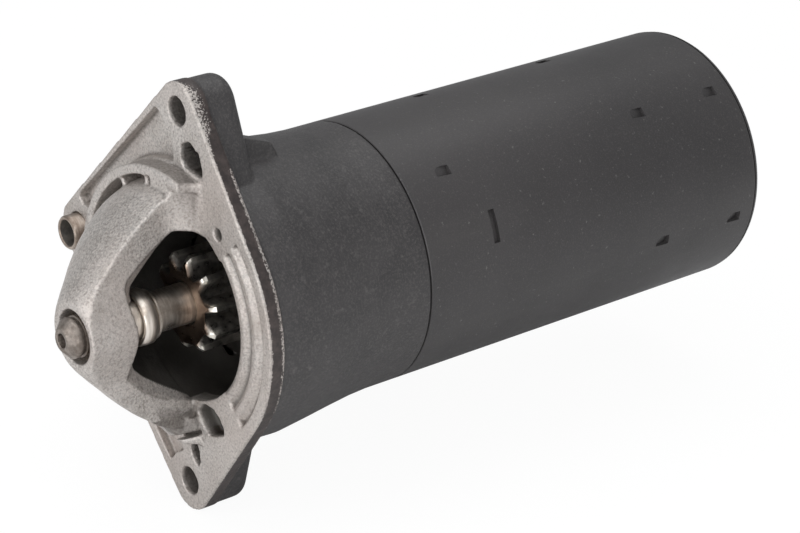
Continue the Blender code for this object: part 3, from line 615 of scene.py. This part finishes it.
def pocket_cutters():
    """The blind and through pockets cast into the flange's face."""
    upper = [(-4.6, 49.0), (-5.4, 52.6), (-7.6, 55.4), (-9.6, 55.6), (-50.4, 17.6), (-51.6, 15.4),
             (-50.2, 13.8), (-46.5, 13.4), (-42.9, 15.2),
             *circle((0, 0), 42.0, 24, radians(93), radians(157))[::-1], (-1.0, 42.6), (-1.2, 45.0)]
    hollow = [(-4.6, 50.8), (-1.9, 48.6), (-0.9, 46.6), (-1.4, 44.2), (-5.6, 44.4), (-6.4, 47.6)]
    quad = [(2.6, 44.2), (2.8, 48.4), (6.2, 50.2), (7.8, 50.2), (10.0, 48.6), (11.4, 48.5), (12.6, 44.9),
            (12.9, 41.9), (11.0, 41.2), (4.2, 42.2)]
    half_round = [(6.8, -30.8), (8.8, -27.8), (11.3, -26.9), (14.6, -27.0), (17.4, -28.6), (19.6, -31.2),
                  (19.4, -33.4), (15.6, -35.2), (12.4, -36.3), (9.6, -34.4)]
    lens = [(2.6, -42.2), (5.8, -41.0), (6.9, -43.4), (7.2, -46.7), (6.3, -48.9), (4.2, -47.6), (2.6, -45.6)]
    lower = [(-15.6, -44.4), (-8.3, -52.2), (-5.2, -48.8), (-1.6, -46.6), (-2.0, -43.4),
             *circle((0, 0), 42.4, 8, radians(250), radians(268))[::-1]]
    return [plate("upper_pocket", upper, 1, -3.1), plate("upper_hollow", hollow, 0, -7.0),
            plate("quad_hole", quad, 1, -13), plate("half_round", half_round, 1, -4.9),
            plate("lens_hole", lens, 1, -13), plate("lower_pocket", lower, 1, -2.6)]


def arch():
    """The pilot ring round the nose, with its crown, its sloped sill below the window, and two ribs."""
    ring = tube("ring", 41.4, 38.6, 6, -1, steps=170, start=radians(66), sweep=radians(176))
    slope = [(8.8, 7), (9.2, 6), (10.6, 2), (12.6, -0.2), (30, -0.2), (30, 7)]
    ring = combined(ring, [standing_plate("wedge", slope, 20, 60)], "DIFFERENCE")
    crown = turned("crown", ((40, 6), (40, -1), (33.5, -1), (33.5, 6)), 24,
                   start=radians(84), sweep=radians(12))
    sill = turned("sill", ((41.2, -1), (41.2, 3.6), (38.6, 5.0), (33, 8.0), (33, -1)), 56,
                  start=radians(238), sweep=radians(45))
    fall = [(-3, 10), (-3, 9.0), (3.0, 5.0), (8.2, 1.2), (9.5, 0.2), (20, -0.1), (20, 10)]
    sill = combined(sill, [standing_plate("fall", fall, -60, -20)], "DIFFERENCE")
    ribs = [moved(box("rib", (33, -0.7, -4), (40, 0.7, 5.4)), Matrix.Rotation(radians(a), 4, "Z"))
            for a in (121, 101)]
    return [ring, crown, sill, *ribs]


def groove_cutters():
    """The two beads with a groove outside each, round the window's outer side, and the slit in the sill."""
    profile = ((26.5, 1.5), (26.5, -0.9), (28.0, -0.8), (29.3, 0.1), (30.8, 0.1), (31.5, -0.8), (32.5, -1.7),
               (33.4, -0.9), (34.4, 0.1), (36.0, 0.1), (37.1, -0.9), (38.3, -1.8), (39.0, -1.0), (39.4, 0.1),
               (39.3, 1.5))
    slit = [(-1.6, -40.6), (8.8, -35.7), (8.2, -37.7), (-1.2, -41.8)]
    groove = turned("groove", profile, 96, start=radians(-44), sweep=radians(89))
    return [groove, plate("slit", slit, 9, -1.5)]


def chamber_cutters():
    """The hollow of the nose, its window, the gear chamber, the opening between them and the shaft's bore."""
    hollow = turned("hollow", ((0, 18.5), (14.0, 18.5), (19.6, 18.0), (25.4, 13.5), (30.4, 8.0), (33.2, 0),
                               (33.6, -7), (0, -7)), 96)
    hollow = combined(hollow, [box("wall", (2.4, -50, -8), (50, 50, 30))], "DIFFERENCE")
    window = sideways_plate("window", [(y, z) for z, y in WINDOW], 1.0, 45)
    rim = lofted("rim", [[(x, y, z) for z, y in loop] for x, loop in (
        (FACET_X - WINDOW_DEPTH, WINDOW), (FACET_X + 0.1, WINDOW_RIM), (45, WINDOW_RIM))])
    chamber = turned("chamber", ((0, -6), (35, -6), (35, -52.5), (YOKE_BORE, -52.5), (YOKE_BORE, -60),
                                 (0, -60)), 96)
    opening = pin("flange_window", 28, 0.5, -7, steps=96)
    opening = combined(opening, [box("wall_root", (-6, 24.4, -8), (13.6, 30, 2))], "DIFFERENCE")
    return [hollow, window, rim, chamber, opening, pin("bore", 7.8, 40, 15, steps=64)]


def side_cutters():
    """The room for the fork, the lever and the plunger, and the hole for the lever's pin."""
    fork = box("fork_space", (18, -18.2, -48), (47, 18.2, -27.5))
    lever = box("lever_space", (40, -9, -51), (70, 9, -26.2))
    plunger = pin("plunger_space", 13, -26.2, -52, SOLENOID_AXIS)
    pivot = moved(pin("pivot_hole", 2.8, 35, -35), Matrix.Rotation(pi / 2, 4, "X"))
    pivot = moved(pivot, Matrix.Translation((41, 0, -36)))
    return [moved(shape, SIDE_TURN) for shape in (fork, lever, plunger, pivot)]


def hole_cutters():
    """The bolt holes of the two ears, the dowel's hole and the small hole beside the window."""
    return [pin("top_hole", BOLT_HOLE_RADIUS, 2, -20, TOP_EAR),
            pin("bottom_hole", BOLT_HOLE_RADIUS, 2, -20, BOTTOM_EAR),
            pin("dowel_hole", 5.35, 2, -12.6, DOWEL_EAR), pin("small_hole", 1.9, 2, -4, SMALL_HOLE)]


def distance_to_outline(points, outline):
    """Each point's distance inward from the outline's sides, for a convex outline."""
    corners = np.array(outline)
    following = np.roll(corners, -1, axis=0)
    sides = following - corners
    lengths = np.maximum(np.linalg.norm(sides, axis=1), 1e-9)
    normals = np.stack([-sides[:, 1], sides[:, 0]], axis=1) / lengths[:, None]
    best = np.full(len(points), 1e9)
    for corner, normal in zip(corners, normals):
        best = np.minimum(best, (points - corner) @ normal)
    return best


def distance_to_line(points, corners):
    """Each point's distance to the nearest side of an open line through the corners."""
    best = np.full(len(points), 1e9)
    corners = np.array(corners)
    for low, high in zip(corners, corners[1:]):
        along = high - low
        share = np.clip((points - low) @ along / (along @ along), 0, 1)
        best = np.minimum(best, np.linalg.norm(points - low - share[:, None] * along, axis=1))
    return best


def smoothstep(low, high, values):
    share = np.clip((values - low) / (high - low), 0, 1)
    return share * share * (3 - 2 * share)


def write_attribute(mesh, name, values):
    layer = mesh.attributes.new(name, "FLOAT", "POINT")
    layer.data.foreach_set("value", values.astype(np.float32))


def edge_sharpness(mesh, places):
    """How far each point stands out from the middle of its neighbours, along its normal."""
    count = len(mesh.vertices)
    pairs = np.empty(len(mesh.edges) * 2, np.int32)
    mesh.edges.foreach_get("vertices", pairs)
    pairs = pairs.reshape(-1, 2)
    total = np.zeros((count, 3))
    near = np.zeros(count)
    for a, b in ((0, 1), (1, 0)):
        np.add.at(total, pairs[:, a], places[pairs[:, b]])
        np.add.at(near, pairs[:, a], 1)
    normals = np.empty(count * 3, np.float32)
    mesh.vertices.foreach_get("normal", normals)
    offset = places - total / np.maximum(near, 1)[:, None]
    value = (offset * normals.reshape(-1, 3)).sum(axis=1)
    for _ in range(2):
        total = np.zeros(count)
        for a, b in ((0, 1), (1, 0)):
            np.add.at(total, pairs[:, a], value[pairs[:, b]])
        value = 0.5 * value + 0.5 * total / np.maximum(near, 1)
    return value


def paint_share(z, inward):
    """The paint covers all behind the flange, and its rim."""
    rim = smoothstep(-0.2, -1.0, z) * smoothstep(1.3, 0.7, inward)
    return np.maximum(rim, smoothstep(-4.3, -4.9, z))


def painted_inner_shade_share(x, y, z):
    """The gear chamber and the nose's hollow, darkened with painted shade."""
    radius = np.hypot(x, y)
    chamber = smoothstep(36.6, 36.2, radius) * (smoothstep(-0.6, -2.0, z) + smoothstep(-1.0, -5.0, z))
    nose_radius = np.interp(z, [-7, 0, 8, 13.5, 18, 19], [34.6, 34.2, 31.4, 26.4, 20.6, 14.0])
    nose = (x < 3.4) & (radius < nose_radius) & (z < 18.9)
    return np.clip(np.maximum(chamber, nose * 1.0), 0, 1)


def wear_share(x, y, z, on_rim):
    """Two rows of chips along the flange's rim, and specks on the top ear's side."""
    angle = np.degrees(np.arctan2(y, x))
    rear_row = np.exp(-((z + 4.35) / 0.85) ** 2) * on_rim * (x > 20)
    rear_row *= 0.62 + 0.38 * smoothstep(-35, 5, angle)
    front_row = 0.74 * np.exp(-((z + 0.6) / 0.7) ** 2) * on_rim * (x > 0)
    ear_specks = 0.69 * smoothstep(46, 58, y) * smoothstep(-7.5, -2.0, z) * smoothstep(0, 6, x)
    return np.clip(rear_row + front_row + ear_specks, 0, 1)


def dirt_and_shade_share(x, y, z, sharp):
    """Painted shade in inner corners, at the nose's root, on the sill, along the window and down in holes,
    and soil on the ring.
    """
    radius = np.hypot(x, y)
    angle = np.degrees(np.arctan2(y, x))
    # The root, the sill, the crease along the window, the inner corners and the holes' depths are painted
    # shade; the ring's band is soil.
    root = 0.5 * smoothstep(8, 4, np.hypot(x - 10, y - 33)) * smoothstep(0.2, 1.0, z) * smoothstep(7, 3, z)
    root += 0.7 * smoothstep(2.6, 1.2, np.hypot(x - 9.5, y - 33.5)) * smoothstep(0.4, 1.0, z)
    sill = (radius > 31) & (radius < 38.6) & (angle < -60) & (angle > -100)
    sill = 0.7 * sill * smoothstep(-0.2, 0.3, z)
    from_rim = distance_to_line(np.stack([z, y], axis=1), WINDOW_RIM[2:17])
    crease = 0.6 * smoothstep(0.55, 0.15, from_rim) * (np.abs(x - FACET_X) < 1.2)
    ring = 0.45 * (radius > 40.9) * (angle > 60) * (angle < 115)
    ring *= smoothstep(0.2, 1.0, z) * smoothstep(5.7, 5.0, z)
    dirt_and_shade = np.maximum.reduce([smoothstep(-0.008, -0.05, sharp), root, sill, crease, ring])
    for (hole_x, hole_y), size in SHADED_HOLES:
        across = np.hypot(x - hole_x, y - hole_y)
        deep = smoothstep(size + 0.5, size - 0.5, across) * smoothstep(-0.9, -2.0, z)
        dirt_and_shade = np.maximum(dirt_and_shade, 1.15 * deep)
    return dirt_and_shade


def mark_finishes(mesh):
    """Writes where the casting has paint, wear and soil, and where it gets painted shade in its hollows,
    corners and chamber.
    """
    places = np.empty(len(mesh.vertices) * 3, np.float32)
    mesh.vertices.foreach_get("co", places)
    places = places.reshape(-1, 3).astype(float)
    x, y, z = places.T
    inward = distance_to_outline(places[:, :2], FLANGE_OUTLINE)
    on_rim = smoothstep(1.6, 0.8, inward)
    write_attribute(mesh, "paint", paint_share(z, inward))
    write_attribute(mesh, "inner_shade", painted_inner_shade_share(x, y, z))
    write_attribute(mesh, "wear", wear_share(x, y, z, on_rim))
    write_attribute(mesh, "band", on_rim * smoothstep(-5.4, -4.8, z) * smoothstep(-0.1, -0.6, z) * (x > 0))
    write_attribute(mesh, "dirt_and_painted_shade", dirt_and_shade_share(x, y, z, edge_sharpness(mesh, places)))


def make_casting():
    casting = combined(flange_blank(), pocket_cutters(), "DIFFERENCE")
    boss = pin("boss", 10, NOSE_END, 14, steps=96)
    casting = combined(casting, [nose_solid(), nose_root(), boss, *arch()], "UNION")
    cutters = chamber_cutters() + side_cutters() + hole_cutters() + groove_cutters()
    casting = combined(casting, cutters, "DIFFERENCE")
    bolt_bosses = [pin("bolt_boss", 4.0, -40, -52.1, place) for place in BOLT_PLACES]
    casting = remeshed(combined(casting, bolt_bosses, "UNION"), VOXEL, 5, 0.45)
    mark_finishes(casting.data)
    placed(casting, "frame", "cast_aluminium", "drive_end_housing", sharp=None)


# ---------------------------------------------------------------- turned and moulded pieces


def span(node):
    """A node's front and rear heights, in millimetres nose up."""
    low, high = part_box(node)
    return -low.y / MM, -high.y / MM


def make_yoke():
    """The rolled tube, with its lanced locking tabs, one sawn slot and the hole for the lead."""
    front, rear = span("yoke_tube")
    profile = ((YOKE_RADIUS, front - 0.25), (YOKE_RADIUS, rear + 0.5), (38.85, rear + 0.15), (38.5, rear),
               (YOKE_BORE, rear), (YOKE_BORE, front), (38.8, front))
    lead_place = SIDE_TURN @ Matrix.Translation((0, 0, -160)) @ Matrix.Rotation(pi / 2, 4, "Y")
    cutters = [moved(pin("lead_hole", 5.5, 45, 30), lead_place)]
    tilt = Matrix.Rotation(radians(13), 4, "Y") @ Matrix.Rotation(radians(-14), 4, "Z")
    for back, angle in TABS:
        place = Matrix.Rotation(radians(angle), 4, "Z") @ Matrix.Translation((38.35, 0, -back))
        cutters.append(moved(box("tab", (0, -1.5, -2.5), (2, 1.5, 2.5)), place @ tilt))
    cutters.append(tube("slot", 41, 37.6, -82.0, -84.2, steps=12, start=radians(13.7), sweep=radians(14.4)))
    yoke = combined(turned("yoke_shell", profile, 220), cutters, "DIFFERENCE")
    placed(yoke, "frame", "black_paint", "yoke_tube", sharp=radians(8))


def gear_loop(tip, root, tip_half, root_half, height):
    """The pinion's outline at one height, with curved flanks and narrow tips. The halves are angles."""
    flank = []
    for share in (0, 0.12, 0.35, 0.6, 0.85, 1.0):
        half = root_half + (tip_half - root_half) * share ** 0.8
        flank.append((root + (tip - root) * share, half))
    sides = [(radius, -half) for radius, half in flank] + flank[::-1]
    middles = [2 * pi * tooth / PINION_TEETH + TOOTH_TURN for tooth in range(PINION_TEETH)]
    return [(radius * cos(middle + half), radius * sin(middle + half), height)
            for middle in middles for radius, half in sides]


def cut_long_edges(mesh, longest):
    """Splits the long faces, so that their points can carry attributes."""
    body = bmesh.new()
    body.from_mesh(mesh)
    bmesh.ops.triangulate(body, faces=body.faces)
    bmesh.ops.subdivide_edges(body, edges=[e for e in body.edges if e.calc_length() > longest], cuts=2)
    body.to_mesh(mesh)
    body.free()


def make_pinion():
    """Ten teeth with chamfered front ends, worn bright at their tips, on a sleeve."""
    front, rear = span("pinion")
    back = front - TOOTH_LENGTH
    loops = [gear_loop(12.3, 9.4, 0.035, 0.19, front), gear_loop(13.5, 9.2, 0.042, 0.215, front - 0.6),
             gear_loop(14.5, 9.1, 0.052, 0.238, front - 1.8), gear_loop(14.55, 9.1, 0.055, 0.240, back),
             gear_loop(9.5, 9.5, 0.055, 0.240, back - 0.05), gear_loop(9.5, 9.5, 0.055, 0.240, rear)]
    bore = ((0, front + 1), (7.6, front + 1), (6.2, front - 0.9), (6.2, rear - 1), (0, rear - 1))
    pinion = combined(lofted("drive_pinion", loops), [turned("bore", bore, 64)], "DIFFERENCE")
    cut_long_edges(pinion.data, 1.2)
    x, y, z = np.array([v.co for v in pinion.data.vertices]).T
    tips = smoothstep(12.6, 13.3, np.hypot(x, y)) * smoothstep(front - 2.4, front - 1.4, z)
    write_attribute(pinion.data, "wear", tips)
    write_attribute(pinion.data, "dirt_and_painted_shade", smoothstep(front - 1.2, front - 0.1, z) * (1 - tips))
    placed(pinion, "pinion_body", "oiled_steel", "pinion", material=GEAR_STEEL, sharp=radians(28))


def make_shaft_pieces():
    """The shaft with its centred tip and planet carrier, its collar and snap ring, and the nose's bush."""
    tip, carrier_back = span("output_shaft")
    profile = ((0, 34.6), (1.7, 35.6), (2.1, tip - 0.15), (2.3, tip), (3.2, tip), (3.5, tip - 0.2),
               (5.5, 36.5), (5.75, 36.2), (5.75, 35.0), (5.4, 34.8), (5.4, 33.9), (5.9, 33.7),
               (5.9, -28.3), (8.0, -28.6), (8.0, -58.8), (20.8, -58.8), (21.0, -59.0),
               (21.0, carrier_back + 0.2), (20.8, carrier_back), (0, carrier_back))
    shaft = placed(turned("shaft", profile, 96), "output", "worn_shaft_steel", "output_shaft")
    give_second(shaft, TIP_STEEL, lambda centre: centre.y < -33.0 * MM)
    top, bottom = span("stop_collar")
    collar = ((6.2, top - 0.3), (6.6, top), (7.5, top), (8.0, top - 0.6), (8.0, bottom + 0.5), (7.6, bottom),
              (6.2, bottom))
    placed(turned("collar", collar, 96), "output", "worn_shaft_steel", "stop_collar")
    top, bottom = span("thrust_ring")
    ring = ((6.2, top), (6.9, top), (7.2, top - 0.25), (7.2, bottom + 0.25), (6.9, bottom), (6.2, bottom))
    placed(turned("snap_ring", ring, 96), "output", "worn_shaft_steel", "thrust_ring")
    bush = ((7.5, 26.6), (7.5, 19.5), (6.2, 19.5), (6.2, 26.2), (6.6, 26.6))
    placed(turned("nose_bearing", bush, 96), "frame", "bronze", "nose_bush")


def make_dowel():
    """The hollow dowel, with painted shade down its bore."""
    top, bottom = span("locating_dowel")
    profile = ((5.1, top - 0.45), (4.75, top), (4.2, top), (3.95, top - 0.3), (3.95, bottom), (5.1, bottom))
    dowel = placed(turned("dowel", profile, 96, DOWEL_EAR), "frame", "bright_steel", "locating_dowel",
                   material=DOWEL_STEEL)
    give_second(dowel, BORE_SHADE, lambda centre: hypot(centre.x / MM - DOWEL_EAR[0],
                                                       centre.z / MM - DOWEL_EAR[1]) < 4.0)


def make_clutch():
    """The clutch's shell, with the groove that the fork runs in."""
    top, bottom = span("clutch_housing")
    profile = ((19.4, top), (20.0, top - 0.6), (20.0, -33.4), (19.4, -34.0), (13.6, -34.0), (13.6, -38.65),
               (10.3, -38.65), (10.3, -43.85), (13.6, -43.85), (13.6, bottom + 0.4), (13.2, bottom),
               (8.4, bottom), (8.4, -27.7), (9.9, -27.7), (9.9, top))
    placed(turned("clutch_shell", profile, 120), "clutch", "worn_shaft_steel", "clutch_housing",
           material=STEEL)


def make_end_cover():
    """The pressed end cover with a recess for each bolt."""
    rear = span("commutator_end_cover")[1]
    profile = ((9.6, rear), (9.3, rear + 0.3), (9.3, -185.0), (7.8, -185.0), (7.8, -175.7), (11.0, -175.7),
               (12.0, -181.0), (35.7, -181.0), (35.7, -185.6), (38.8, -185.6), (38.8, -186.0),
               (38.3, -186.8), (37.6, rear), (30.0, rear), (29.4, -186.5), (17.6, -186.5), (17.0, rear))
    holes = []
    for place in BOLT_PLACES:
        holes += [pin("hole", 2.3, -178, -190, place), pin("recess", 3.9, -184.0, -190, place)]
    cover = combined(turned("end_cover", profile, 160), holes, "DIFFERENCE")
    placed(cover, "frame", "black_paint", "commutator_end_cover", sharp=radians(35))


def make_dust_cap():
    top, bottom = span("rear_dust_cap")
    cap = ((0, top), (9.0, top), (9.0, bottom + 0.5), (8.6, bottom + 0.1), (7.2, bottom),
           (6.6, bottom + 0.5), (0, bottom + 0.5))
    placed(turned("dust_cap", cap, 96), "frame", "bright_steel", "rear_dust_cap")


def make_through_bolt(number, place):
    """A long bolt with a cross cut into its head."""
    top, bottom = span(f"through_bolt_{number}")
    profile = ((0, top), (1.6, top), (2.0, top - 0.4), (2.0, -184.3), (3.5, -184.3), (3.5, bottom + 0.5),
               (3.1, bottom), (0, bottom))
    x, y = place
    cross = [box("slot", (x - wide, y - high, bottom - 1), (x + wide, y + high, bottom + 0.9))
             for wide, high in ((2.4, 0.4), (0.4, 2.4))]
    bolt = combined(turned(f"long_bolt_{number}", profile, 48, place), cross, "DIFFERENCE")
    placed(bolt, "frame", "bright_steel", f"through_bolt_{number}")


def make_solenoid_case():
    """The solenoid's rolled case, with a seam near its electrical end and two threads in its front."""
    top, bottom = span("solenoid_case")
    profile = ((20.6, top), (21.0, top - 0.4), (21.0, -95.2), (20.5, -95.8), (20.5, -96.6), (21.0, -97.2),
               (21.0, bottom + 0.6), (20.4, bottom), (19.8, bottom), (19.8, -56.0), (9.4, -56.0), (9.4, top))
    shell = turned("solenoid_shell", profile, 128, SOLENOID_AXIS)
    threads = [pin("thread", 2.3, -49, -55.5, place) for place in SCREW_PLACES]
    placed(combined(shell, threads, "DIFFERENCE"), "frame", "black_paint", "solenoid_case",
           turn=SIDE_TURN, sharp=radians(30))


def make_terminal_cap():
    """The moulded cap, with twelve flutes round it and a hole for each stud."""
    top, bottom = span("solenoid_cap")
    profile = ((0, -114.2), (16.5, -114.2), (16.5, top), (20.5, top), (20.5, -108.0), (20.1, -108.6),
               (18.6, bottom + 1.6), (17.4, bottom + 0.3), (16.4, bottom), (0, bottom))
    cutters = [pin("hole", 3.3, -110, -120, place) for place in STUD_PLACES]
    for i in range(12):
        turn = Matrix.Translation((*SOLENOID_AXIS, 0)) @ Matrix.Rotation(2 * pi * i / 12, 4, "Z")
        cutters.append(moved(box("flute", (19.3, -1.0, -112.0), (20.4, 1.0, -101.0)), turn))
    cap = combined(turned("terminal_cap", profile, 96, SOLENOID_AXIS), cutters, "DIFFERENCE")
    placed(cap, "frame", "black_plastic", "solenoid_cap", turn=SIDE_TURN, sharp=radians(30))


def make_terminal(number, place):
    """A threaded stud and its nut."""
    top, bottom = span(f"terminal_stud_{number}")
    thread = []
    height = -118.0
    while height > bottom + 1.2:
        thread += [(3.0, height), (2.62, height - 0.5)]
        height -= 1.0
    profile = ((0, top), (3.0, top), *thread, (2.9, bottom + 0.8), (2.3, bottom), (0, bottom))
    placed(turned(f"threaded_stud_{number}", profile, 48, place), "frame", "copper",
           f"terminal_stud_{number}", turn=SIDE_TURN, sharp=radians(25))
    top, bottom = span(f"terminal_nut_{number}")
    nut = plate(f"hex_nut_{number}", circle(place, 5.5, 6, radians(30), radians(330)), top, bottom)
    rounded = ((0, top), (4.75, top), (5.6, top - 0.55), (5.6, bottom + 0.55), (4.75, bottom), (0, bottom))
    nut = combined(nut, [turned("rounded", rounded, 64, place)], "INTERSECT")
    nut = combined(nut, [pin("bore", 3.3, top + 1, bottom - 1, place)], "DIFFERENCE")
    placed(nut, "frame", "bright_steel", f"terminal_nut_{number}", turn=SIDE_TURN)


def make_cap_screw(number, place):
    top, bottom = span(f"solenoid_screw_{number}")
    profile = ((0, top - 0.9), (1.5, top - 0.9), (1.5, top), (3.2, top), (3.8, top - 0.7), (3.8, -23.7),
               (2.0, -23.7), (2.0, bottom), (0, bottom))
    placed(turned(f"cap_screw_{number}", profile, 48, place), "frame", "bright_steel",
           f"solenoid_screw_{number}", turn=SIDE_TURN)


def tube_along(name, points, radius, sides=24):
    curve = bpy.data.curves.new(name, "CURVE")
    curve.dimensions = "3D"
    curve.bevel_depth = radius
    curve.bevel_resolution = sides // 4
    curve.use_fill_caps = True
    spline = curve.splines.new("NURBS")
    spline.points.add(len(points) - 1)
    spline.order_u = 4
    spline.use_endpoint_u = True
    spline.resolution_u = 8
    for point, place in zip(spline.points, points):
        point.co = (*place, 1)
    return mesh_from(curve_mesh(curve), name)


def make_spring():
    """The plunger's return spring."""
    top, bottom = span("return_spring")
    turns, per_turn, radius, wire = 5, 24, 5.6, 0.7
    count = turns * per_turn
    length = bottom - top + 2 * wire
    points = [(SOLENOID_AXIS[0] + radius * cos(2 * pi * i / per_turn), radius * sin(2 * pi * i / per_turn),
               top - wire + length * i / count) for i in range(count + 1)]
    spring = tube_along("coil_spring", points, wire, 16)
    placed(spring, "frame", "bright_steel", "return_spring", turn=SIDE_TURN)
    # It lies between the plunger, 70.0 mm behind the flange, and the core, 92.2 mm behind it.
    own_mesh(spring)


def finish_other_nodes():
    """The CAD nodes that stay get their finish from their slot in the record."""
    slots = {part["node"]: part["material_slot"] for part in frame["record"]["subparts"]}
    for name, node in NODES.items():
        node.data.materials.clear()
        node.data.materials.append(SLOT_MATERIALS[slots[name]])
        for face in node.data.polygons:
            face.material_index = 0


make_casting()
make_yoke()
make_pinion()
make_shaft_pieces()
make_dowel()
make_clutch()
make_end_cover()
make_through_bolt(1, BOLT_PLACES[0])
make_through_bolt(2, BOLT_PLACES[1])
make_dust_cap()
make_solenoid_case()
make_terminal_cap()
for number in (1, 2):
    make_terminal(number, STUD_PLACES[number - 1])
    make_cap_screw(number, SCREW_PLACES[number - 1])
make_spring()
finish_other_nodes()


# ---------------------------------------------------------------- stage


# Each softbox as its name, place, size and power. All shine at one point on the motor's axis.
LIGHTS = (("top_softbox", (-0.10, 0.12, 0.95), (0.9, 1.1), 5.2),
          ("front_softbox", (-0.15, -1.0, 0.40), (0.6, 0.6), 4.4),
          ("fill_softbox", (0.80, -0.35, 0.90), (0.6, 0.6), 3.4),
          ("window_softbox", (0.80, -0.85, 0.10), (0.5, 0.5), 4.2),
          ("right_softbox", (1.10, 0.25, 0.05), (0.9, 0.4), 0.8))
LIT_POINT = (0, 0.04, 0)

FLOOR_HALF = 3.0
FLOOR_GAP = 0.0005
FLOOR_GLOW = 1.02
FLOOR_GLOW_SHARE = 0.93
WORLD_STRENGTH = 0.38

LENS = 120.4
CAMERA_PLACE = (0.56914, -0.36790, 0.31295)
CAMERA_BACK = (0.7190, -0.5627, 0.4079)
CAMERA_RIGHT = (0.6163, 0.7875, 0.0)


def add_area_light(name, place, size, power):
    data = bpy.data.lights.new(name, "AREA")
    data.shape = "RECTANGLE"
    data.size, data.size_y = size
    data.energy = power
    light = bpy.data.objects.new(name, data)
    light.location = place
    light.rotation_euler = (Vector(LIT_POINT) - Vector(place)).to_track_quat("-Z", "Y").to_euler()
    linked(light)


def seen_directly(tree):
    return tree.nodes.new("ShaderNodeLightPath").outputs["Is Camera Ray"]


def floor_material():
    """A pale floor that looks white and throws little light back up."""
    tree = Tree("pale_floor")
    shade = tree.grey(tree.noise(8, 2, 0.5), (0.3, 0.84), (0.7, 0.88))
    tree.finish(shade, 0.9)
    glow = tree.add("ShaderNodeEmission")
    glow.inputs["Strength"].default_value = FLOOR_GLOW
    blend = tree.add("ShaderNodeMixShader")
    share = tree.maths("MULTIPLY", seen_directly(tree.tree), FLOOR_GLOW_SHARE)
    tree.link(share, blend.inputs[0])
    tree.link(tree.surface.outputs[0], blend.inputs[1])
    tree.link(glow.outputs[0], blend.inputs[2])
    tree.link(blend.outputs[0], tree.tree.nodes["Material Output"].inputs["Surface"])
    return tree.material


def studio_world():
    """Soft even light that the camera sees as white."""
    world = bpy.data.worlds.new("studio")
    world.use_nodes = True
    nodes = world.node_tree.nodes
    links = world.node_tree.links
    direct = nodes.new("ShaderNodeBackground")
    direct.inputs["Color"].default_value = (1, 1, 1, 1)
    soft = nodes["Background"]
    soft.inputs["Color"].default_value = (0.97, 0.985, 1, 1)
    soft.inputs["Strength"].default_value = WORLD_STRENGTH
    blend = nodes.new("ShaderNodeMixShader")
    links.new(seen_directly(world.node_tree), blend.inputs[0])
    links.new(soft.outputs[0], blend.inputs[1])
    links.new(direct.outputs[0], blend.inputs[2])
    links.new(blend.outputs[0], nodes["World Output"].inputs["Surface"])
    return world


def make_stage():
    floor_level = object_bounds()[0][2] - FLOOR_GAP
    body = bmesh.new()
    bmesh.ops.create_grid(body, x_segments=1, y_segments=1, size=FLOOR_HALF)
    mesh = bpy.data.meshes.new("floor")
    body.to_mesh(mesh)
    body.free()
    floor = bpy.data.objects.new("floor", mesh)
    floor.location = (0, 0, floor_level)
    floor.data.materials.append(floor_material())
    linked(floor)
    bpy.context.scene.world = studio_world()
    for light in LIGHTS:
        add_area_light(*light)
    bpy.context.scene.view_settings.view_transform = "Standard"


def make_camera():
    data = bpy.data.cameras.new("camera")
    data.lens = LENS
    data.sensor_width = 36
    camera = bpy.data.objects.new("camera", data)
    place = Vector(CAMERA_PLACE)
    back = Vector(CAMERA_BACK).normalized()
    right = Vector(CAMERA_RIGHT).normalized()
    up = back.cross(right)
    camera.matrix_world = Matrix.Translation(place) @ Matrix((right, up, back)).transposed().to_4x4()
    bpy.context.scene.camera = linked(camera)


make_stage()
make_camera()
